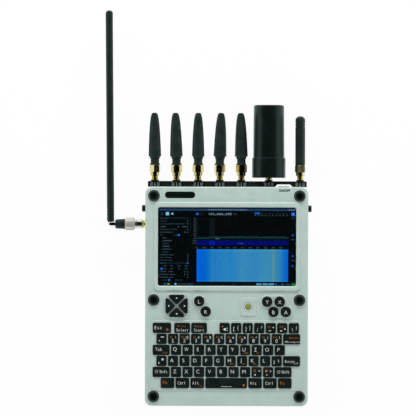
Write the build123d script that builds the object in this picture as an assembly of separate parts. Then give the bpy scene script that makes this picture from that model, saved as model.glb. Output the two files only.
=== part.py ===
from build123d import *
import math
import os

# Handheld radio spectrum analyser: a flat case with a screen, a keypad, seven
# antennas along the top and a telescopic whip at the left.
# +Z out of the screen, +Y towards the top antennas, origin at the centre of the back face.

# ---- Case ----
CASE_W = 131.6          # across X
CASE_L = 177.1          # along Y
CASE_H = 27.4           # back face to the flat of the front plate
CASE_R = 5.5            # corner radius
PLATE_T = 3.0           # front plate
WALL = 2.4              # side walls
REAR_T = 2.2            # floor of the rear housing
SPLIT_Z = 9.0           # height of the parting line
RIM_CHAMFER = 0.9
REAR_CHAMFER = 1.4
LIP_T = 1.2             # locating lip of the rear housing
LIP_H = 1.8
LIP_ROOT = 3.0
FIT_GAP = 0.1           # between case pieces that locate each other
RUN_GAP = 0.05          # radial clearance of shafts and bores
PAD_SLOPE = 0.9         # share of a raised pad's height that its edge slopes off
BREAK_EDGE = 0.4        # small chamfer on turned and moulded pieces

# ---- Screen ----
SCREEN_X = 0.25
BEZEL_INSET = 6.8       # bezel to each side of the case
BEZEL_TOP_INSET = 12.35
BEZEL_FOOT = 4.2        # Y of the bezel's lower edge
WINDOW_R = 2.0
WINDOW_CHAMFER = 0.8
RIM_SLOPE = 45          # degrees
BEZEL_SIDE = 3.1        # bezel's width beside the window
BEZEL_END = 4.2         # above and below the window
BEZEL_R = 3.0
BEZEL_RISE = 1.0
GLASS_SET = 0.9         # top of the glass below the top of the bezel
GLASS_T = 1.1
GLASS_GAP = 0.15
PANEL_SIDE = 1.0        # display frame beyond the bezel's sides
PANEL_END = 0.5
PANEL_T = 3.0

# ---- Face screws ----
FACE_SCREW_INSET = 6.9
FACE_SCREW_TOP = 7.35   # from the case's upper end
FACE_SCREW_MIDDLE = -3.0
FACE_SCREW_FOOT = 7.55
FACE_HEAD_D = 9.1
FACE_HEAD_H = 2.0
FACE_HEAD_SIDE = 0.9    # upright part of the head's side
FACE_HEAD_SLOPE = 1.2   # slope's width
FACE_HEAD_RING = 0.7    # flat ring's width
FACE_HEAD_DIP = 0.35
FACE_SEAT_D = 9.8
FACE_SEAT_DEPTH = 0.4
FACE_SHANK_D = 4.0
FACE_SHANK_L = 14.0
FACE_HEX = 3.2          # across flats of the socket
FACE_HEX_DEPTH = 1.3
POST_D = 8.0

# ---- Side screws ----
SIDE_SCREW_TOP = 17.55  # from the case's upper end
SIDE_SCREW_Z = 13.5
SIDE_HEAD_D = 5.5
SIDE_HEAD_H = 2.9
SIDE_SHANK_D = 3.0
SIDE_SHANK_L = 8.0
SIDE_HEX = 2.5
SIDE_HEX_DEPTH = 1.6
LUG_W = 6.0             # across X
LUG_L = 8.0             # along Y
LUG_TOP = 18.0

# ---- Direction pad ----
PAD_INSET = 25.5
PAD_Y = -7.75
PETAL_REACH = 8.85      # outer edge from the pad's centre
PETAL_APEX = 1.25       # sharp apex from the pad's centre
PETAL_HALF_W = 6.15
PETAL_EDGE_HALF = 5.6
PETAL_R = 0.9
PAD_COLLAR_W = 19.0
PAD_COLLAR_L = 20.2
PAD_COLLAR_Y = -7.8
PAD_COLLAR_R = 2.4
PETAL_RISE = 1.6        # above the collar

# ---- Round buttons ----
BUTTON_D = 8.2
BUTTON_RISE = 1.7
# Centres: inset from the left wall (+) or the right wall (-), and Y.
BUTTON_INSETS = {
    "button_l": (43.7, -3.9),
    "button_r": (49.0, -12.2),
    "button_y": (-33.0, -4.1),
    "button_x": (-22.9, -4.1),
    "button_b": (-27.9, -12.35),
    "button_a": (-17.9, -12.35),
}
BUTTON_COLLAR = 1.5     # collar width round a button
COLLAR_RISE = 0.5
CONTROL_GAP = 0.25      # controls to their holes
PRESS_TRAVEL = 0.8

# ---- Trackball ----
BALL_INSET = 48.3       # from the right wall
BALL_Y = -8.35
BALL_D = 6.4
BALL_RING_D = 7.7
BALL_HOLE_D = 5.5
BALL_RING_T = 0.6
BALL_PAD_W = 12.9
BALL_PAD_L = 15.1
BALL_PAD_R = 2.4
BALL_SINK = 1.78        # ball centre below the ring
CARRIER_FLOOR = 0.8     # under the ball
CARRIER_LIP = 0.3       # carrier's rim below the ball's centre

# ---- Keyboard ----
KEY_R = 1.2
KEY_WEB = 1.3           # between keys of a row
ROW_WEB = 0.85          # between rows
KEYS_IN_ROW = 12        # of the row that fills the panel
ROWS = 6
KEY_GAP = 0.2           # key to its window
KEY_RISE = 0.9          # above the keyboard panel
KEY_TRAVEL = 1.0
KEY_TAPER = 6           # slope of a key's sides, degrees
ESC_EXTRA = 6.5         # wider than a letter key
GAME_EXTRA = 4.4
WIDE_EXTRA = 5.45
MODIFIER_EXTRA = 2.7
SPACE_EXTRA = 1.4       # wider than four letter keys
GAME_LEAD = 2.9
SYMBOL_LEAD = 10.45
PANEL_INSET = 4.8       # keyboard panel to each side of the case
PANEL_FOOT_INSET = 12.15
KEY_PANEL_TOP = -19.3
FIRST_ROW_DROP = 6.2    # first row's middle below the panel's upper edge
LAST_ROW_RISE = 6.4
BOARD_MARGIN = 1.6      # panel's left edge to the widest rows
INSET_MARGIN = 4.6
BOTTOM_MARGIN = 8.15
RIGHT_MARGIN = 1.65
KEY_GROUPS = ("command_keys", "symbol_keys", "digit_keys", "upper_letter_keys", "home_letter_keys",
              "lower_letter_keys", "left_wide_keys", "right_wide_keys", "modifier_keys", "space_key")
KEY_PANEL_R = 2.5
KEY_PANEL_RISE = 0.4

# ---- Boards and what they carry ----
KEY_BOARD_INSET = 6.3   # to each side of the case
KEY_BOARD_T = 1.2
CONTROL_BOARD_GAP = 1.9 # control board to the screw posts
PLATE_GAP = 0.2         # keys' play above the mat
MAT_T = 0.6
MAT_INSET = 0.8
BOARD_T = 1.6
BOARD_Z = 10.0          # underside of the main and radio boards
STANDOFF_D = 5.0
STANDOFF_INSET = 4.0
MAIN_LEFT_INSET = 13.8
MAIN_RIGHT_INSET = 8.8
MAIN_TOP_INSET = 31.55
MAIN_FOOT = 4.5         # Y of the main board's lower edge
RADIO_SIDE_INSET = 15.8
RADIO_TOP_INSET = 5.55
RADIO_L = 22.5
SHIELD_H = 3.2
SHIELD_INSET = 5.0
MODULE_W = 55.0
MODULE_L = 40.0
MODULE_T = 1.2
MODULE_STACK = 4.0
HEADER_L = 6.0
CHIP_W = 15.0
USB_W = 9.0
USB_H = 3.2
USB_L = 8.0
USB_SHELL = 0.4         # socket's sheet metal
USB_Y = 22.0
CELL_L = 65.2
CELL_WEB = 1.0          # between the cells
CELL_NUB_D = 6.0
CELL_NUB_L = 1.0
HOLDER_FLOOR = 0.7
HOLDER_WALL = 2.0
HOLDER_H = 7.0
BATTERY_INSET = 40.55   # from the case's lower end
SPEAKER_W = 14.0
SPEAKER_L = 26.0
SPEAKER_H = 5.0
SPEAKER_INSET = 13.8
SLOT_W = 1.6            # vent and speaker slots in the floor
SPEAKER_SLOT_L = 10.0
SPEAKER_SLOT_PITCH = 4.0
SPEAKER_SLOTS = 5
VENT_L = 26.0
VENT_PITCH = 5.0
VENTS = 9

# ---- Antenna rail and connectors ----
CONNECTOR_Z = 15.5      # height of every connector's axis
PADDLES = 5
PADDLE_INSET = 7.5      # first paddle from the left wall
STUB_INSET = 6.5        # stub from the right wall
CAN_PITCH = 25.4        # can to the stub
PADDLE_TO_CAN = 22.2
RAIL_LEFT_INSET = 1.9
RAIL_RIGHT_INSET = 1.2
RAIL_DEPTH = 4.6        # along Y
RAIL_H = 12.0           # along Z
RAIL_WEB = 1.0          # wall that the jacks clamp on
RAIL_END_R = 1.0
POCKET_W = 9.4
NOTCH_W = 14.2
NOTCH_DEPTH = 2.1
NOTCH_SLOPE = 1.9
JACK_D = 5.4
JACK_TAIL = 0.6         # inside the case wall
JACK_TIP = 14.0         # beyond the case wall
HEX_AF = 8.0
FLANGE_D = 6.6
FLANGE_T = 1.2
NUT_LOW = 9.05          # antenna nut above the case wall
NUT_RING_D = 7.2
NUT_RING_T = 2.75
NUT_TOP = 17.6
NUT_TURNS = {0: 20.0, 1: 0.0, 2: 0.0, 3: -9.0, 4: 7.0, 6: 24.0}
NUT_EDGE = 30.0         # turn from a nut's flat to its corner, degrees
NUT_CROWN = 0.5         # chamfer of a nut's corners, along its axis
POWER_INSET = 19.7
POWER_W = 9.0
POWER_H = 3.6
POWER_FLANGE = 1.2
POWER_TRAVEL = 0.4

# ---- Antennas ----
SPIGOT_L = 3.2          # inside the nut
NECK_D = 8.2
NECK_WAIST_D = 6.9
NECK_L = 7.0
NECK_STEP = 1.1
PADDLE_L = 35.5
PADDLE_HALF_W = 4.95
PADDLE_HALF_T = 3.3
PADDLE_POWER = 0.42     # how fast the sides close towards the tip
PADDLE_DRAW = 0.15      # share of the width that a paddle loses evenly along its length
PADDLE_ANGLES = (0, 12, 24, 35, 45, 54, 62, 69, 75, 80, 84)     # sections, degrees of a quarter turn
PADDLE_LIP_L = 0.9
PADDLE_LIP = 0.25        # how far the shoulder stands out
PADDLE_BEVEL = 0.46     # share of the half width that is the flat facet
PADDLE_TURNS = (4.0, -4.0, 0.0, -16.0, 18.0)
CAN_LOW = 7.4
CAN_BASE_D = 27.1
CAN_BASE_L = 16.3
CAN_D = 25.3
CAN_TOP_D = 24.6
CAN_TOP = 66.4
CAN_FILLET = 1.6
STUB_D = 8.0
STUB_TOP = 57.4
STUB_GROOVES = (48.6, 51.2)
STUB_GROOVE_W = 0.9
STUB_GROOVE_DEPTH = 0.35

# ---- Side connector and whip ----
SIDE_TOP = 30.25        # whip's connector from the case's upper end
CONE_D = 7.2
CONE_WAIST_D = 5.8
CONE_WAIST = 1.5
CONE_END_D = 6.2
CONE_L = 2.4
ADAPTER_D = 7.6
ADAPTER_L = 5.4
GASKET_L = 0.8
GASKET_D = 6.6
WHIP_NUT_D = 10.1
WHIP_NUT_L = 7.9
COLLAR_L = 7.9
COLLAR_D = 8.3
COLLAR_END_D = 7.4
PLUG_L = 3.4
PIVOT_REACH = 3.8       # pivot from the collar's end
FORK_ROOT = 1.3
FORK_W = 4.6            # along Y
FORK_H = 6.4            # along Z
FORK_SLOT = 2.4
TANG_GAP = 0.08
PIN_D = 1.8
PIN_PROUD = 0.15
TUBE_RISE = 2.45        # tube's foot from the pivot
WHIP_LEAN = 0.57        # degrees that the whip leans out from the case at rest
TUBE_D = 5.9
TUBE_WALL = 0.45
TUBE_LAP = 0.05
TUBE_L = 162.55
TANG_PLUG = 3.5
STAGE_FOOT = 1.0        # stages' foot above the tang's plug
CRIMPS = (3.5, 5.9, 8.9)
CRIMP_W = 0.7
CRIMP_DEPTH = 0.2
CAP_D = 6.0
CAP_L = 7.9

# ---- Worked out ----
TOP_WALL = CASE_L / 2
SIDE_WALL = CASE_W / 2
PLATE_BASE = CASE_H - PLATE_T
BEZEL_TOP = CASE_H + BEZEL_RISE
GLASS_TOP = BEZEL_TOP - GLASS_SET
GLASS_BASE = GLASS_TOP - GLASS_T
COLLAR_TOP = CASE_H + COLLAR_RISE
KEY_PANEL_Z = CASE_H + KEY_PANEL_RISE
MAT_TOP = PLATE_BASE - KEY_TRAVEL - PLATE_GAP
MAT_BASE = MAT_TOP - MAT_T
KEY_FOOT = MAT_TOP + KEY_TRAVEL + FIT_GAP
BUTTON_FOOT = MAT_TOP + PRESS_TRAVEL + FIT_GAP
BALL_Z = COLLAR_TOP - BALL_RING_T - BALL_SINK
CARRIER_D = BALL_RING_D - 2 * CONTROL_GAP

BEZEL_W = CASE_W - 2 * BEZEL_INSET
BEZEL_L = TOP_WALL - BEZEL_TOP_INSET - BEZEL_FOOT
SCREEN_Y = BEZEL_FOOT + BEZEL_L / 2
WINDOW_W = BEZEL_W - 2 * BEZEL_SIDE
WINDOW_L = BEZEL_L - 2 * BEZEL_END
PANEL_W = BEZEL_W + 2 * PANEL_SIDE
PANEL_L = BEZEL_L + 2 * PANEL_END

FACE_SCREW_X = SIDE_WALL - FACE_SCREW_INSET
FACE_SCREW_ROWS = (TOP_WALL - FACE_SCREW_TOP, FACE_SCREW_MIDDLE, FACE_SCREW_FOOT - TOP_WALL)
SIDE_SCREW_Y = TOP_WALL - SIDE_SCREW_TOP
PAD_X = PAD_INSET - SIDE_WALL
BALL_X = SIDE_WALL - BALL_INSET
BUTTONS = {name: (inset - math.copysign(SIDE_WALL, inset), y) for name, (inset, y) in BUTTON_INSETS.items()}

KEY_PANEL_W = CASE_W - 2 * PANEL_INSET
KEY_PANEL_BOTTOM = PANEL_FOOT_INSET - TOP_WALL
FIRST_ROW_Y = KEY_PANEL_TOP - FIRST_ROW_DROP
ROW_PITCH = (FIRST_ROW_Y - KEY_PANEL_BOTTOM - LAST_ROW_RISE) / (ROWS - 1)
KEY_L = ROW_PITCH - ROW_WEB
ROW_ROOM = KEY_PANEL_W - INSET_MARGIN - RIGHT_MARGIN
KEY_W = (ROW_ROOM - WIDE_EXTRA - (KEYS_IN_ROW - 1) * KEY_WEB) / KEYS_IN_ROW
ESC_W = KEY_W + ESC_EXTRA
GAME_W = KEY_W + GAME_EXTRA
WIDE_W = KEY_W + WIDE_EXTRA
MODIFIER_W = KEY_W + MODIFIER_EXTRA
SPACE_W = 4 * KEY_W + SPACE_EXTRA
BOARD_LEFT = BOARD_MARGIN - KEY_PANEL_W / 2
INSET_LEFT = INSET_MARGIN - KEY_PANEL_W / 2
BOTTOM_LEFT = BOTTOM_MARGIN - KEY_PANEL_W / 2
# Each row is its left edge, then runs of keys: group, key width, count, space before.
KEY_ROWS = (
    (BOARD_LEFT, (("command_keys", ESC_W, 1, 0.0), ("command_keys", GAME_W, 2, GAME_LEAD),
                  ("symbol_keys", KEY_W, 7, SYMBOL_LEAD))),
    (INSET_LEFT, (("digit_keys", KEY_W, 11, 0.0), ("right_wide_keys", WIDE_W, 1, KEY_WEB))),
    (BOARD_LEFT, (("left_wide_keys", WIDE_W, 1, 0.0), ("upper_letter_keys", KEY_W, 10, KEY_WEB))),
    (INSET_LEFT, (("home_letter_keys", KEY_W, 11, 0.0), ("right_wide_keys", WIDE_W, 1, KEY_WEB))),
    (BOARD_LEFT, (("left_wide_keys", WIDE_W, 1, 0.0), ("lower_letter_keys", KEY_W, 9, KEY_WEB),
                  ("right_wide_keys", WIDE_W, 1, KEY_WEB))),
    (BOTTOM_LEFT, (("modifier_keys", MODIFIER_W, 3, 0.0), ("space_key", SPACE_W, 1, KEY_WEB),
                   ("modifier_keys", MODIFIER_W, 3, KEY_WEB))),
)

KEY_BOARD_W = CASE_W - 2 * KEY_BOARD_INSET
CONTROL_BOARD_W = 2 * (FACE_SCREW_X - POST_D / 2 - CONTROL_BOARD_GAP)
# Board areas: low X, high X, low Y, high Y.
MAIN_BOARD = (MAIN_LEFT_INSET - SIDE_WALL, SIDE_WALL - MAIN_RIGHT_INSET, MAIN_FOOT, TOP_WALL - MAIN_TOP_INSET)
RADIO_X = SIDE_WALL - RADIO_SIDE_INSET
RADIO_TOP = TOP_WALL - RADIO_TOP_INSET
RADIO_BOARD = (-RADIO_X, RADIO_X, RADIO_TOP - RADIO_L, RADIO_TOP)
VENT_Y = (MAIN_FOOT + TOP_WALL - MAIN_TOP_INSET) / 2
CELL_D = MAT_BASE - KEY_BOARD_T - REAR_T - HOLDER_FLOOR - FIT_GAP
CELL_PITCH = CELL_D + CELL_WEB
BATTERY_Y = BATTERY_INSET - TOP_WALL
CELL_Z = REAR_T + HOLDER_FLOOR + CELL_D / 2
SPEAKER_X = SIDE_WALL - SPEAKER_INSET

RAIL_LEFT = RAIL_LEFT_INSET - SIDE_WALL
RAIL_RIGHT = SIDE_WALL - RAIL_RIGHT_INSET
FIRST_PADDLE_X = PADDLE_INSET - SIDE_WALL
STUB_X = SIDE_WALL - STUB_INSET
CAN_X = STUB_X - CAN_PITCH
PADDLE_PITCH = (CAN_X - PADDLE_TO_CAN - FIRST_PADDLE_X) / (PADDLES - 1)
ANTENNA_X = [FIRST_PADDLE_X + number * PADDLE_PITCH for number in range(PADDLES)] + [CAN_X, STUB_X]
POWER_X = SIDE_WALL - POWER_INSET

SIDE_Y = TOP_WALL - SIDE_TOP
ADAPTER_LOW = CONE_L
ADAPTER_TOP = ADAPTER_LOW + ADAPTER_L
WHIP_NUT_LOW = ADAPTER_TOP + GASKET_L
WHIP_NUT_TOP = WHIP_NUT_LOW + WHIP_NUT_L
COLLAR_END = WHIP_NUT_TOP + COLLAR_L
PIVOT_X = -SIDE_WALL - COLLAR_END - PIVOT_REACH
TUBE_END = TUBE_RISE + TUBE_L
STAGE_LOW = TUBE_RISE + TANG_PLUG + STAGE_FOOT


def slab(width, length, radius, low, high, x=0.0, y=0.0):
    """A rounded rectangle between two heights."""
    return extrude(Pos(x, y, low) * RectangleRounded(width, length, radius), high - low)


def block(low_x, high_x, low_y, high_y, low_z, high_z):
    """A plain box from its limits."""
    box = Box(high_x - low_x, high_y - low_y, high_z - low_z)
    return Pos((low_x + high_x) / 2, (low_y + high_y) / 2, (low_z + high_z) / 2) * box


def rod(diameter, low, high):
    """A cylinder on the Z axis between two heights."""
    return Pos(0, 0, (low + high) / 2) * Cylinder(diameter / 2, high - low)


def turned(*points):
    """A turned piece from its half profile: radius and height pairs."""
    return revolve(Plane.XZ * make_face(Polyline(*points, close=True)), Axis.Z)


def hexagon(across_flats, low, high, turn=0.0):
    """A hexagonal prism on the Z axis, with flats facing +X and -X when turn is 0."""
    radius = across_flats / math.sqrt(3)
    return extrude(Pos(0, 0, low) * Rot(0, 0, turn + NUT_EDGE) * RegularPolygon(radius, 6), high - low)


def crowned_hexagon(across_flats, low, high, turn=0.0):
    """A hexagonal prism with its corners turned off at both ends, as on a nut."""
    corner = across_flats / math.sqrt(3)
    crown = turned((0, low), (corner - NUT_CROWN, low), (corner, low + NUT_CROWN),
                   (corner, high - NUT_CROWN), (corner - NUT_CROWN, high), (0, high))
    return hexagon(across_flats, low, high, turn) & crown


def up_from_top(x):
    """Frame on the top wall: local Z runs along +Y, out of the case."""
    return Plane(origin=(x, TOP_WALL, CONNECTOR_Z), x_dir=(1, 0, 0), z_dir=(0, 1, 0)).location


def out_from_left(y=SIDE_Y, z=CONNECTOR_Z):
    """Frame on the left wall: local Z runs along -X, out of the case."""
    return Plane(origin=(-SIDE_WALL, y, z), x_dir=(0, 1, 0), z_dir=(-1, 0, 0)).location


def out_from_right(y, z):
    """Frame on the right wall: local Z runs along +X, out of the case."""
    return Plane(origin=(SIDE_WALL, y, z), x_dir=(0, 1, 0), z_dir=(1, 0, 0)).location


def key_places():
    """Every key as its group, centre X, centre Y and width."""
    places = []
    for row, (left, runs) in enumerate(KEY_ROWS):
        edge = left
        y = FIRST_ROW_Y - row * ROW_PITCH
        for group, width, count, lead in runs:
            edge += lead
            for number in range(count):
                places.append((group, edge + width / 2, y, width))
                edge += width + (KEY_WEB if number < count - 1 else 0.0)
    return places


def petal_outline(grow=0.0):
    """One arm of the direction pad, pointing along +Y, grown by a clearance."""
    apex = PETAL_APEX - grow * math.sqrt(2)
    reach = PETAL_REACH + grow
    side = PETAL_HALF_W + grow
    edge = PETAL_EDGE_HALF + grow
    outline = Polygon((0, apex), (side, side + apex), (edge, reach), (-edge, reach),
                      (-side, side + apex), align=None)
    return fillet(outline.vertices(), PETAL_R + grow)


def petal_turns():
    """Direction names and their turn about Z from +Y."""
    return {"dpad_up": 0, "dpad_left": 90, "dpad_down": 180, "dpad_right": 270}


def button_collar(names):
    """The raised outline round a group of round buttons."""
    circles = Sketch() + [Pos(*BUTTONS[name]) * Circle(BUTTON_D / 2 + BUTTON_COLLAR) for name in names]
    return make_hull(circles.edges())


def raised_pad(outline, rise):
    """A pad on the front plate, with its top edge sloped off."""
    pad = extrude(Pos(0, 0, CASE_H) * outline, rise)
    return chamfer(pad.faces().sort_by(Axis.Z)[-1].edges(), rise * PAD_SLOPE)


def raised_pads():
    """The pads that stand up from the front plate, with sloped edges."""
    bezel = Pos(SCREEN_X, SCREEN_Y) * RectangleRounded(BEZEL_W, BEZEL_L, BEZEL_R)
    panel_mid = (KEY_PANEL_TOP + KEY_PANEL_BOTTOM) / 2
    panel_l = KEY_PANEL_TOP - KEY_PANEL_BOTTOM
    panel = Pos(0, panel_mid) * RectangleRounded(KEY_PANEL_W, panel_l, KEY_PANEL_R)
    pad_collar = Pos(PAD_X, PAD_COLLAR_Y) * RectangleRounded(PAD_COLLAR_W, PAD_COLLAR_L, PAD_COLLAR_R)
    ball_pad = Pos(BALL_X, BALL_Y) * RectangleRounded(BALL_PAD_W, BALL_PAD_L, BALL_PAD_R)
    pads = [
        raised_pad(bezel, BEZEL_RISE),
        raised_pad(panel, KEY_PANEL_RISE),
        raised_pad(pad_collar, COLLAR_RISE),
        raised_pad(ball_pad, COLLAR_RISE),
        raised_pad(button_collar(("button_l", "button_r")), COLLAR_RISE),
        raised_pad(button_collar(("button_y", "button_x", "button_b", "button_a")), COLLAR_RISE),
    ]
    return pads


def control_holes():
    """Outlines of every hole that a key or control works in."""
    holes = []
    for group, x, y, width in key_places():
        window = RectangleRounded(width + 2 * KEY_GAP, KEY_L + 2 * KEY_GAP, KEY_R + KEY_GAP)
        holes.append(Pos(x, y) * window)
    for centre in BUTTONS.values():
        holes.append(Pos(*centre) * Circle(BUTTON_D / 2 + CONTROL_GAP))
    for turn in petal_turns().values():
        holes.append(Pos(PAD_X, PAD_Y) * Rot(0, 0, turn) * petal_outline(CONTROL_GAP))
    holes.append(Pos(BALL_X, BALL_Y) * Circle(BALL_RING_D / 2 + RUN_GAP))
    return Sketch() + holes


def screen_window():
    """The screen's opening with its chamfered rim."""
    grown = 2 * WINDOW_CHAMFER
    hole = slab(WINDOW_W, WINDOW_L, WINDOW_R, PLATE_BASE, BEZEL_TOP, SCREEN_X, SCREEN_Y)
    rim = RectangleRounded(WINDOW_W + grown, WINDOW_L + grown, WINDOW_R + WINDOW_CHAMFER)
    return hole + extrude(Pos(SCREEN_X, SCREEN_Y, BEZEL_TOP) * rim, -WINDOW_CHAMFER, taper=RIM_SLOPE)


def face_screw_places():
    """Centres of the six face screws."""
    return [(side * FACE_SCREW_X, y) for y in FACE_SCREW_ROWS for side in (-1, 1)]


def wall_holes():
    """Holes through the walls for the jacks, screws, socket and power button."""
    jack = rod(JACK_D + 2 * RUN_GAP, -2 * WALL, WALL)
    cuts = [up_from_top(x) * jack for x in ANTENNA_X]
    cuts.append(out_from_left() * jack)
    power = SlotOverall(POWER_W + 2 * CONTROL_GAP, POWER_H + 2 * CONTROL_GAP)
    cuts.append(up_from_top(POWER_X) * extrude(Pos(0, 0, -2 * WALL) * power, 3 * WALL))
    screw = rod(SIDE_SHANK_D + 2 * FIT_GAP, -2 * WALL, WALL)
    cuts.append(out_from_left(SIDE_SCREW_Y, SIDE_SCREW_Z) * screw)
    cuts.append(out_from_right(SIDE_SCREW_Y, SIDE_SCREW_Z) * screw)
    socket = SlotOverall(USB_W + 2 * FIT_GAP, USB_H + 2 * FIT_GAP)
    usb_z = BOARD_Z + BOARD_T + USB_H / 2
    cuts.append(out_from_right(USB_Y, usb_z) * extrude(Pos(0, 0, -2 * WALL) * socket, 3 * WALL))
    return cuts


def front_housing():
    """Machined front half: plate, walls, raised pads and every window."""
    shell = slab(CASE_W, CASE_L, CASE_R, SPLIT_Z, CASE_H)
    shell = chamfer(shell.faces().sort_by(Axis.Z)[-1].edges(), RIM_CHAMFER)
    shell -= slab(CASE_W - 2 * WALL, CASE_L - 2 * WALL, CASE_R - WALL, SPLIT_Z, PLATE_BASE)
    for pad in raised_pads():
        shell += pad
    shell -= screen_window()
    shell -= extrude(Pos(0, 0, PLATE_BASE) * control_holes(), PLATE_T + BEZEL_RISE)
    for x, y in face_screw_places():
        shell -= Pos(x, y) * rod(FACE_SHANK_D + 2 * FIT_GAP, PLATE_BASE, CASE_H)
        shell -= Pos(x, y) * rod(FACE_SEAT_D, CASE_H - FACE_SEAT_DEPTH, CASE_H)
    for cut in wall_holes():
        shell -= cut
    return shell


def standoff_places(board):
    """Centres of a board's four standoffs."""
    low_x, high_x, low_y, high_y = board
    return [(x, y) for x in (low_x + STANDOFF_INSET, high_x - STANDOFF_INSET)
            for y in (low_y + STANDOFF_INSET, high_y - STANDOFF_INSET)]


def rear_housing():
    """Rear half: a tray with a locating lip, screw posts, lugs, standoffs and slots."""
    inner_w = CASE_W - 2 * WALL
    inner_l = CASE_L - 2 * WALL
    inner_r = CASE_R - WALL
    tray = slab(CASE_W, CASE_L, CASE_R, 0, SPLIT_Z)
    tray = chamfer(tray.faces().sort_by(Axis.Z)[0].edges(), REAR_CHAMFER)
    tray -= slab(inner_w, inner_l, inner_r, REAR_T, SPLIT_Z)
    lip = slab(inner_w, inner_l, inner_r, SPLIT_Z - LIP_ROOT, SPLIT_Z)
    lip_top = SPLIT_Z + LIP_H
    lip += slab(inner_w - 2 * FIT_GAP, inner_l - 2 * FIT_GAP, inner_r - FIT_GAP, SPLIT_Z, lip_top)
    inset = FIT_GAP + LIP_T
    lip -= slab(inner_w - 2 * inset, inner_l - 2 * inset, inner_r - inset, SPLIT_Z - LIP_ROOT, lip_top)
    tray += lip
    lug_face = SIDE_WALL - WALL - FIT_GAP
    for side in (-1, 1):
        lug = Pos(side * (lug_face - LUG_W / 2), SIDE_SCREW_Y, (REAR_T + LUG_TOP) / 2)
        tray += lug * Box(LUG_W, LUG_L, LUG_TOP - REAR_T)
    for x, y in face_screw_places():
        tray += Pos(x, y) * rod(POST_D, REAR_T / 2, PLATE_BASE)
    for x, y in standoff_places(MAIN_BOARD) + standoff_places(RADIO_BOARD):
        tray += Pos(x, y) * rod(STANDOFF_D, REAR_T / 2, BOARD_Z)
    screw_foot = CASE_H - FACE_SEAT_DEPTH - FACE_SHANK_L - FIT_GAP
    for x, y in face_screw_places():
        tray -= Pos(x, y) * rod(FACE_SHANK_D + 2 * RUN_GAP, screw_foot, PLATE_BASE)
    side_screw = rod(SIDE_SHANK_D + 2 * RUN_GAP, -SIDE_SHANK_L - FIT_GAP, 0)
    tray -= out_from_left(SIDE_SCREW_Y, SIDE_SCREW_Z) * side_screw
    tray -= out_from_right(SIDE_SCREW_Y, SIDE_SCREW_Z) * side_screw
    return tray - floor_slots()


def floor_slots():
    """Vents under the main board and sound slots under the speakers."""
    slots = []
    for number in range(VENTS):
        x = (number - (VENTS - 1) / 2) * VENT_PITCH
        slots.append(Pos(x, VENT_Y) * Rot(0, 0, 90) * SlotOverall(VENT_L, SLOT_W))
    for side in (-1, 1):
        for number in range(SPEAKER_SLOTS):
            y = BATTERY_Y + (number - (SPEAKER_SLOTS - 1) / 2) * SPEAKER_SLOT_PITCH
            slots.append(Pos(side * SPEAKER_X, y) * SlotOverall(SPEAKER_SLOT_L, SLOT_W))
    return extrude(Sketch() + slots, REAR_T)


def face_screw():
    """Low button head with a ringed hex socket."""
    radius = FACE_HEAD_D / 2
    ring = radius - FACE_HEAD_SLOPE
    dip = ring - FACE_HEAD_RING
    floor = FACE_HEAD_H - FACE_HEAD_DIP
    head = turned((0, 0), (radius, 0), (radius, FACE_HEAD_SIDE), (ring, FACE_HEAD_H),
                  (dip, FACE_HEAD_H), (dip - FACE_HEAD_DIP, floor), (0, floor))
    head -= hexagon(FACE_HEX, FACE_HEAD_H - FACE_HEX_DEPTH, FACE_HEAD_H)
    return Pos(0, 0, CASE_H - FACE_SEAT_DEPTH) * (head + rod(FACE_SHANK_D, -FACE_SHANK_L, 0))


def side_screw():
    """Socket cap screw."""
    head = chamfer(rod(SIDE_HEAD_D, 0, SIDE_HEAD_H).edges().sort_by(Axis.Z)[-1], BREAK_EDGE)
    head -= hexagon(SIDE_HEX, SIDE_HEAD_H - SIDE_HEX_DEPTH, SIDE_HEAD_H)
    return head + rod(SIDE_SHANK_D, -SIDE_SHANK_L, 0)


def display_panel():
    """Display module: the wide frame behind the plate and the lit block in the window."""
    frame = slab(PANEL_W, PANEL_L, WINDOW_R, PLATE_BASE - PANEL_T, PLATE_BASE, SCREEN_X, SCREEN_Y)
    lit_w = WINDOW_W - 2 * GLASS_GAP
    lit_l = WINDOW_L - 2 * GLASS_GAP
    return frame + slab(lit_w, lit_l, WINDOW_R - GLASS_GAP, PLATE_BASE, GLASS_BASE, SCREEN_X, SCREEN_Y)


def cover_glass():
    """Glass in the screen's window."""
    width = WINDOW_W - 2 * GLASS_GAP
    length = WINDOW_L - 2 * GLASS_GAP
    return slab(width, length, WINDOW_R - GLASS_GAP, GLASS_BASE, GLASS_TOP, SCREEN_X, SCREEN_Y)


def keypad_outline(inset):
    """Outline shared by the keyboard board and its rubber mat."""
    post_edge = FACE_SCREW_ROWS[2] + POST_D / 2 + FIT_GAP
    panel_foot = SCREEN_Y - PANEL_L / 2 - FIT_GAP
    lower_l = KEY_PANEL_TOP - post_edge
    lower = Rectangle(KEY_BOARD_W - 2 * inset, lower_l - 2 * inset)
    lower = Pos(0, KEY_PANEL_TOP - lower_l / 2) * lower
    upper_l = panel_foot - KEY_PANEL_TOP + ROW_PITCH
    upper = Rectangle(CONTROL_BOARD_W - 2 * inset, upper_l - 2 * inset)
    upper = Pos(0, panel_foot - upper_l / 2) * upper
    return lower + upper - Pos(BALL_X, BALL_Y) * Circle(CARRIER_D / 2 + CONTROL_GAP)


def keyboard_board():
    """Circuit board under the keys and controls."""
    return extrude(Pos(0, 0, MAT_BASE - KEY_BOARD_T) * keypad_outline(0), KEY_BOARD_T)


def key_mat():
    """Silicone mat between the board and the keys."""
    return extrude(Pos(0, 0, MAT_BASE) * keypad_outline(MAT_INSET), MAT_T)


def key(width):
    """One key with sloped sides, standing at the origin."""
    base = extrude(Pos(0, 0, KEY_FOOT) * RectangleRounded(width, KEY_L, KEY_R), KEY_PANEL_Z - KEY_FOOT)
    cap = RectangleRounded(width, KEY_L, KEY_R)
    return base + extrude(Pos(0, 0, KEY_PANEL_Z) * cap, KEY_RISE, taper=KEY_TAPER)


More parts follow.
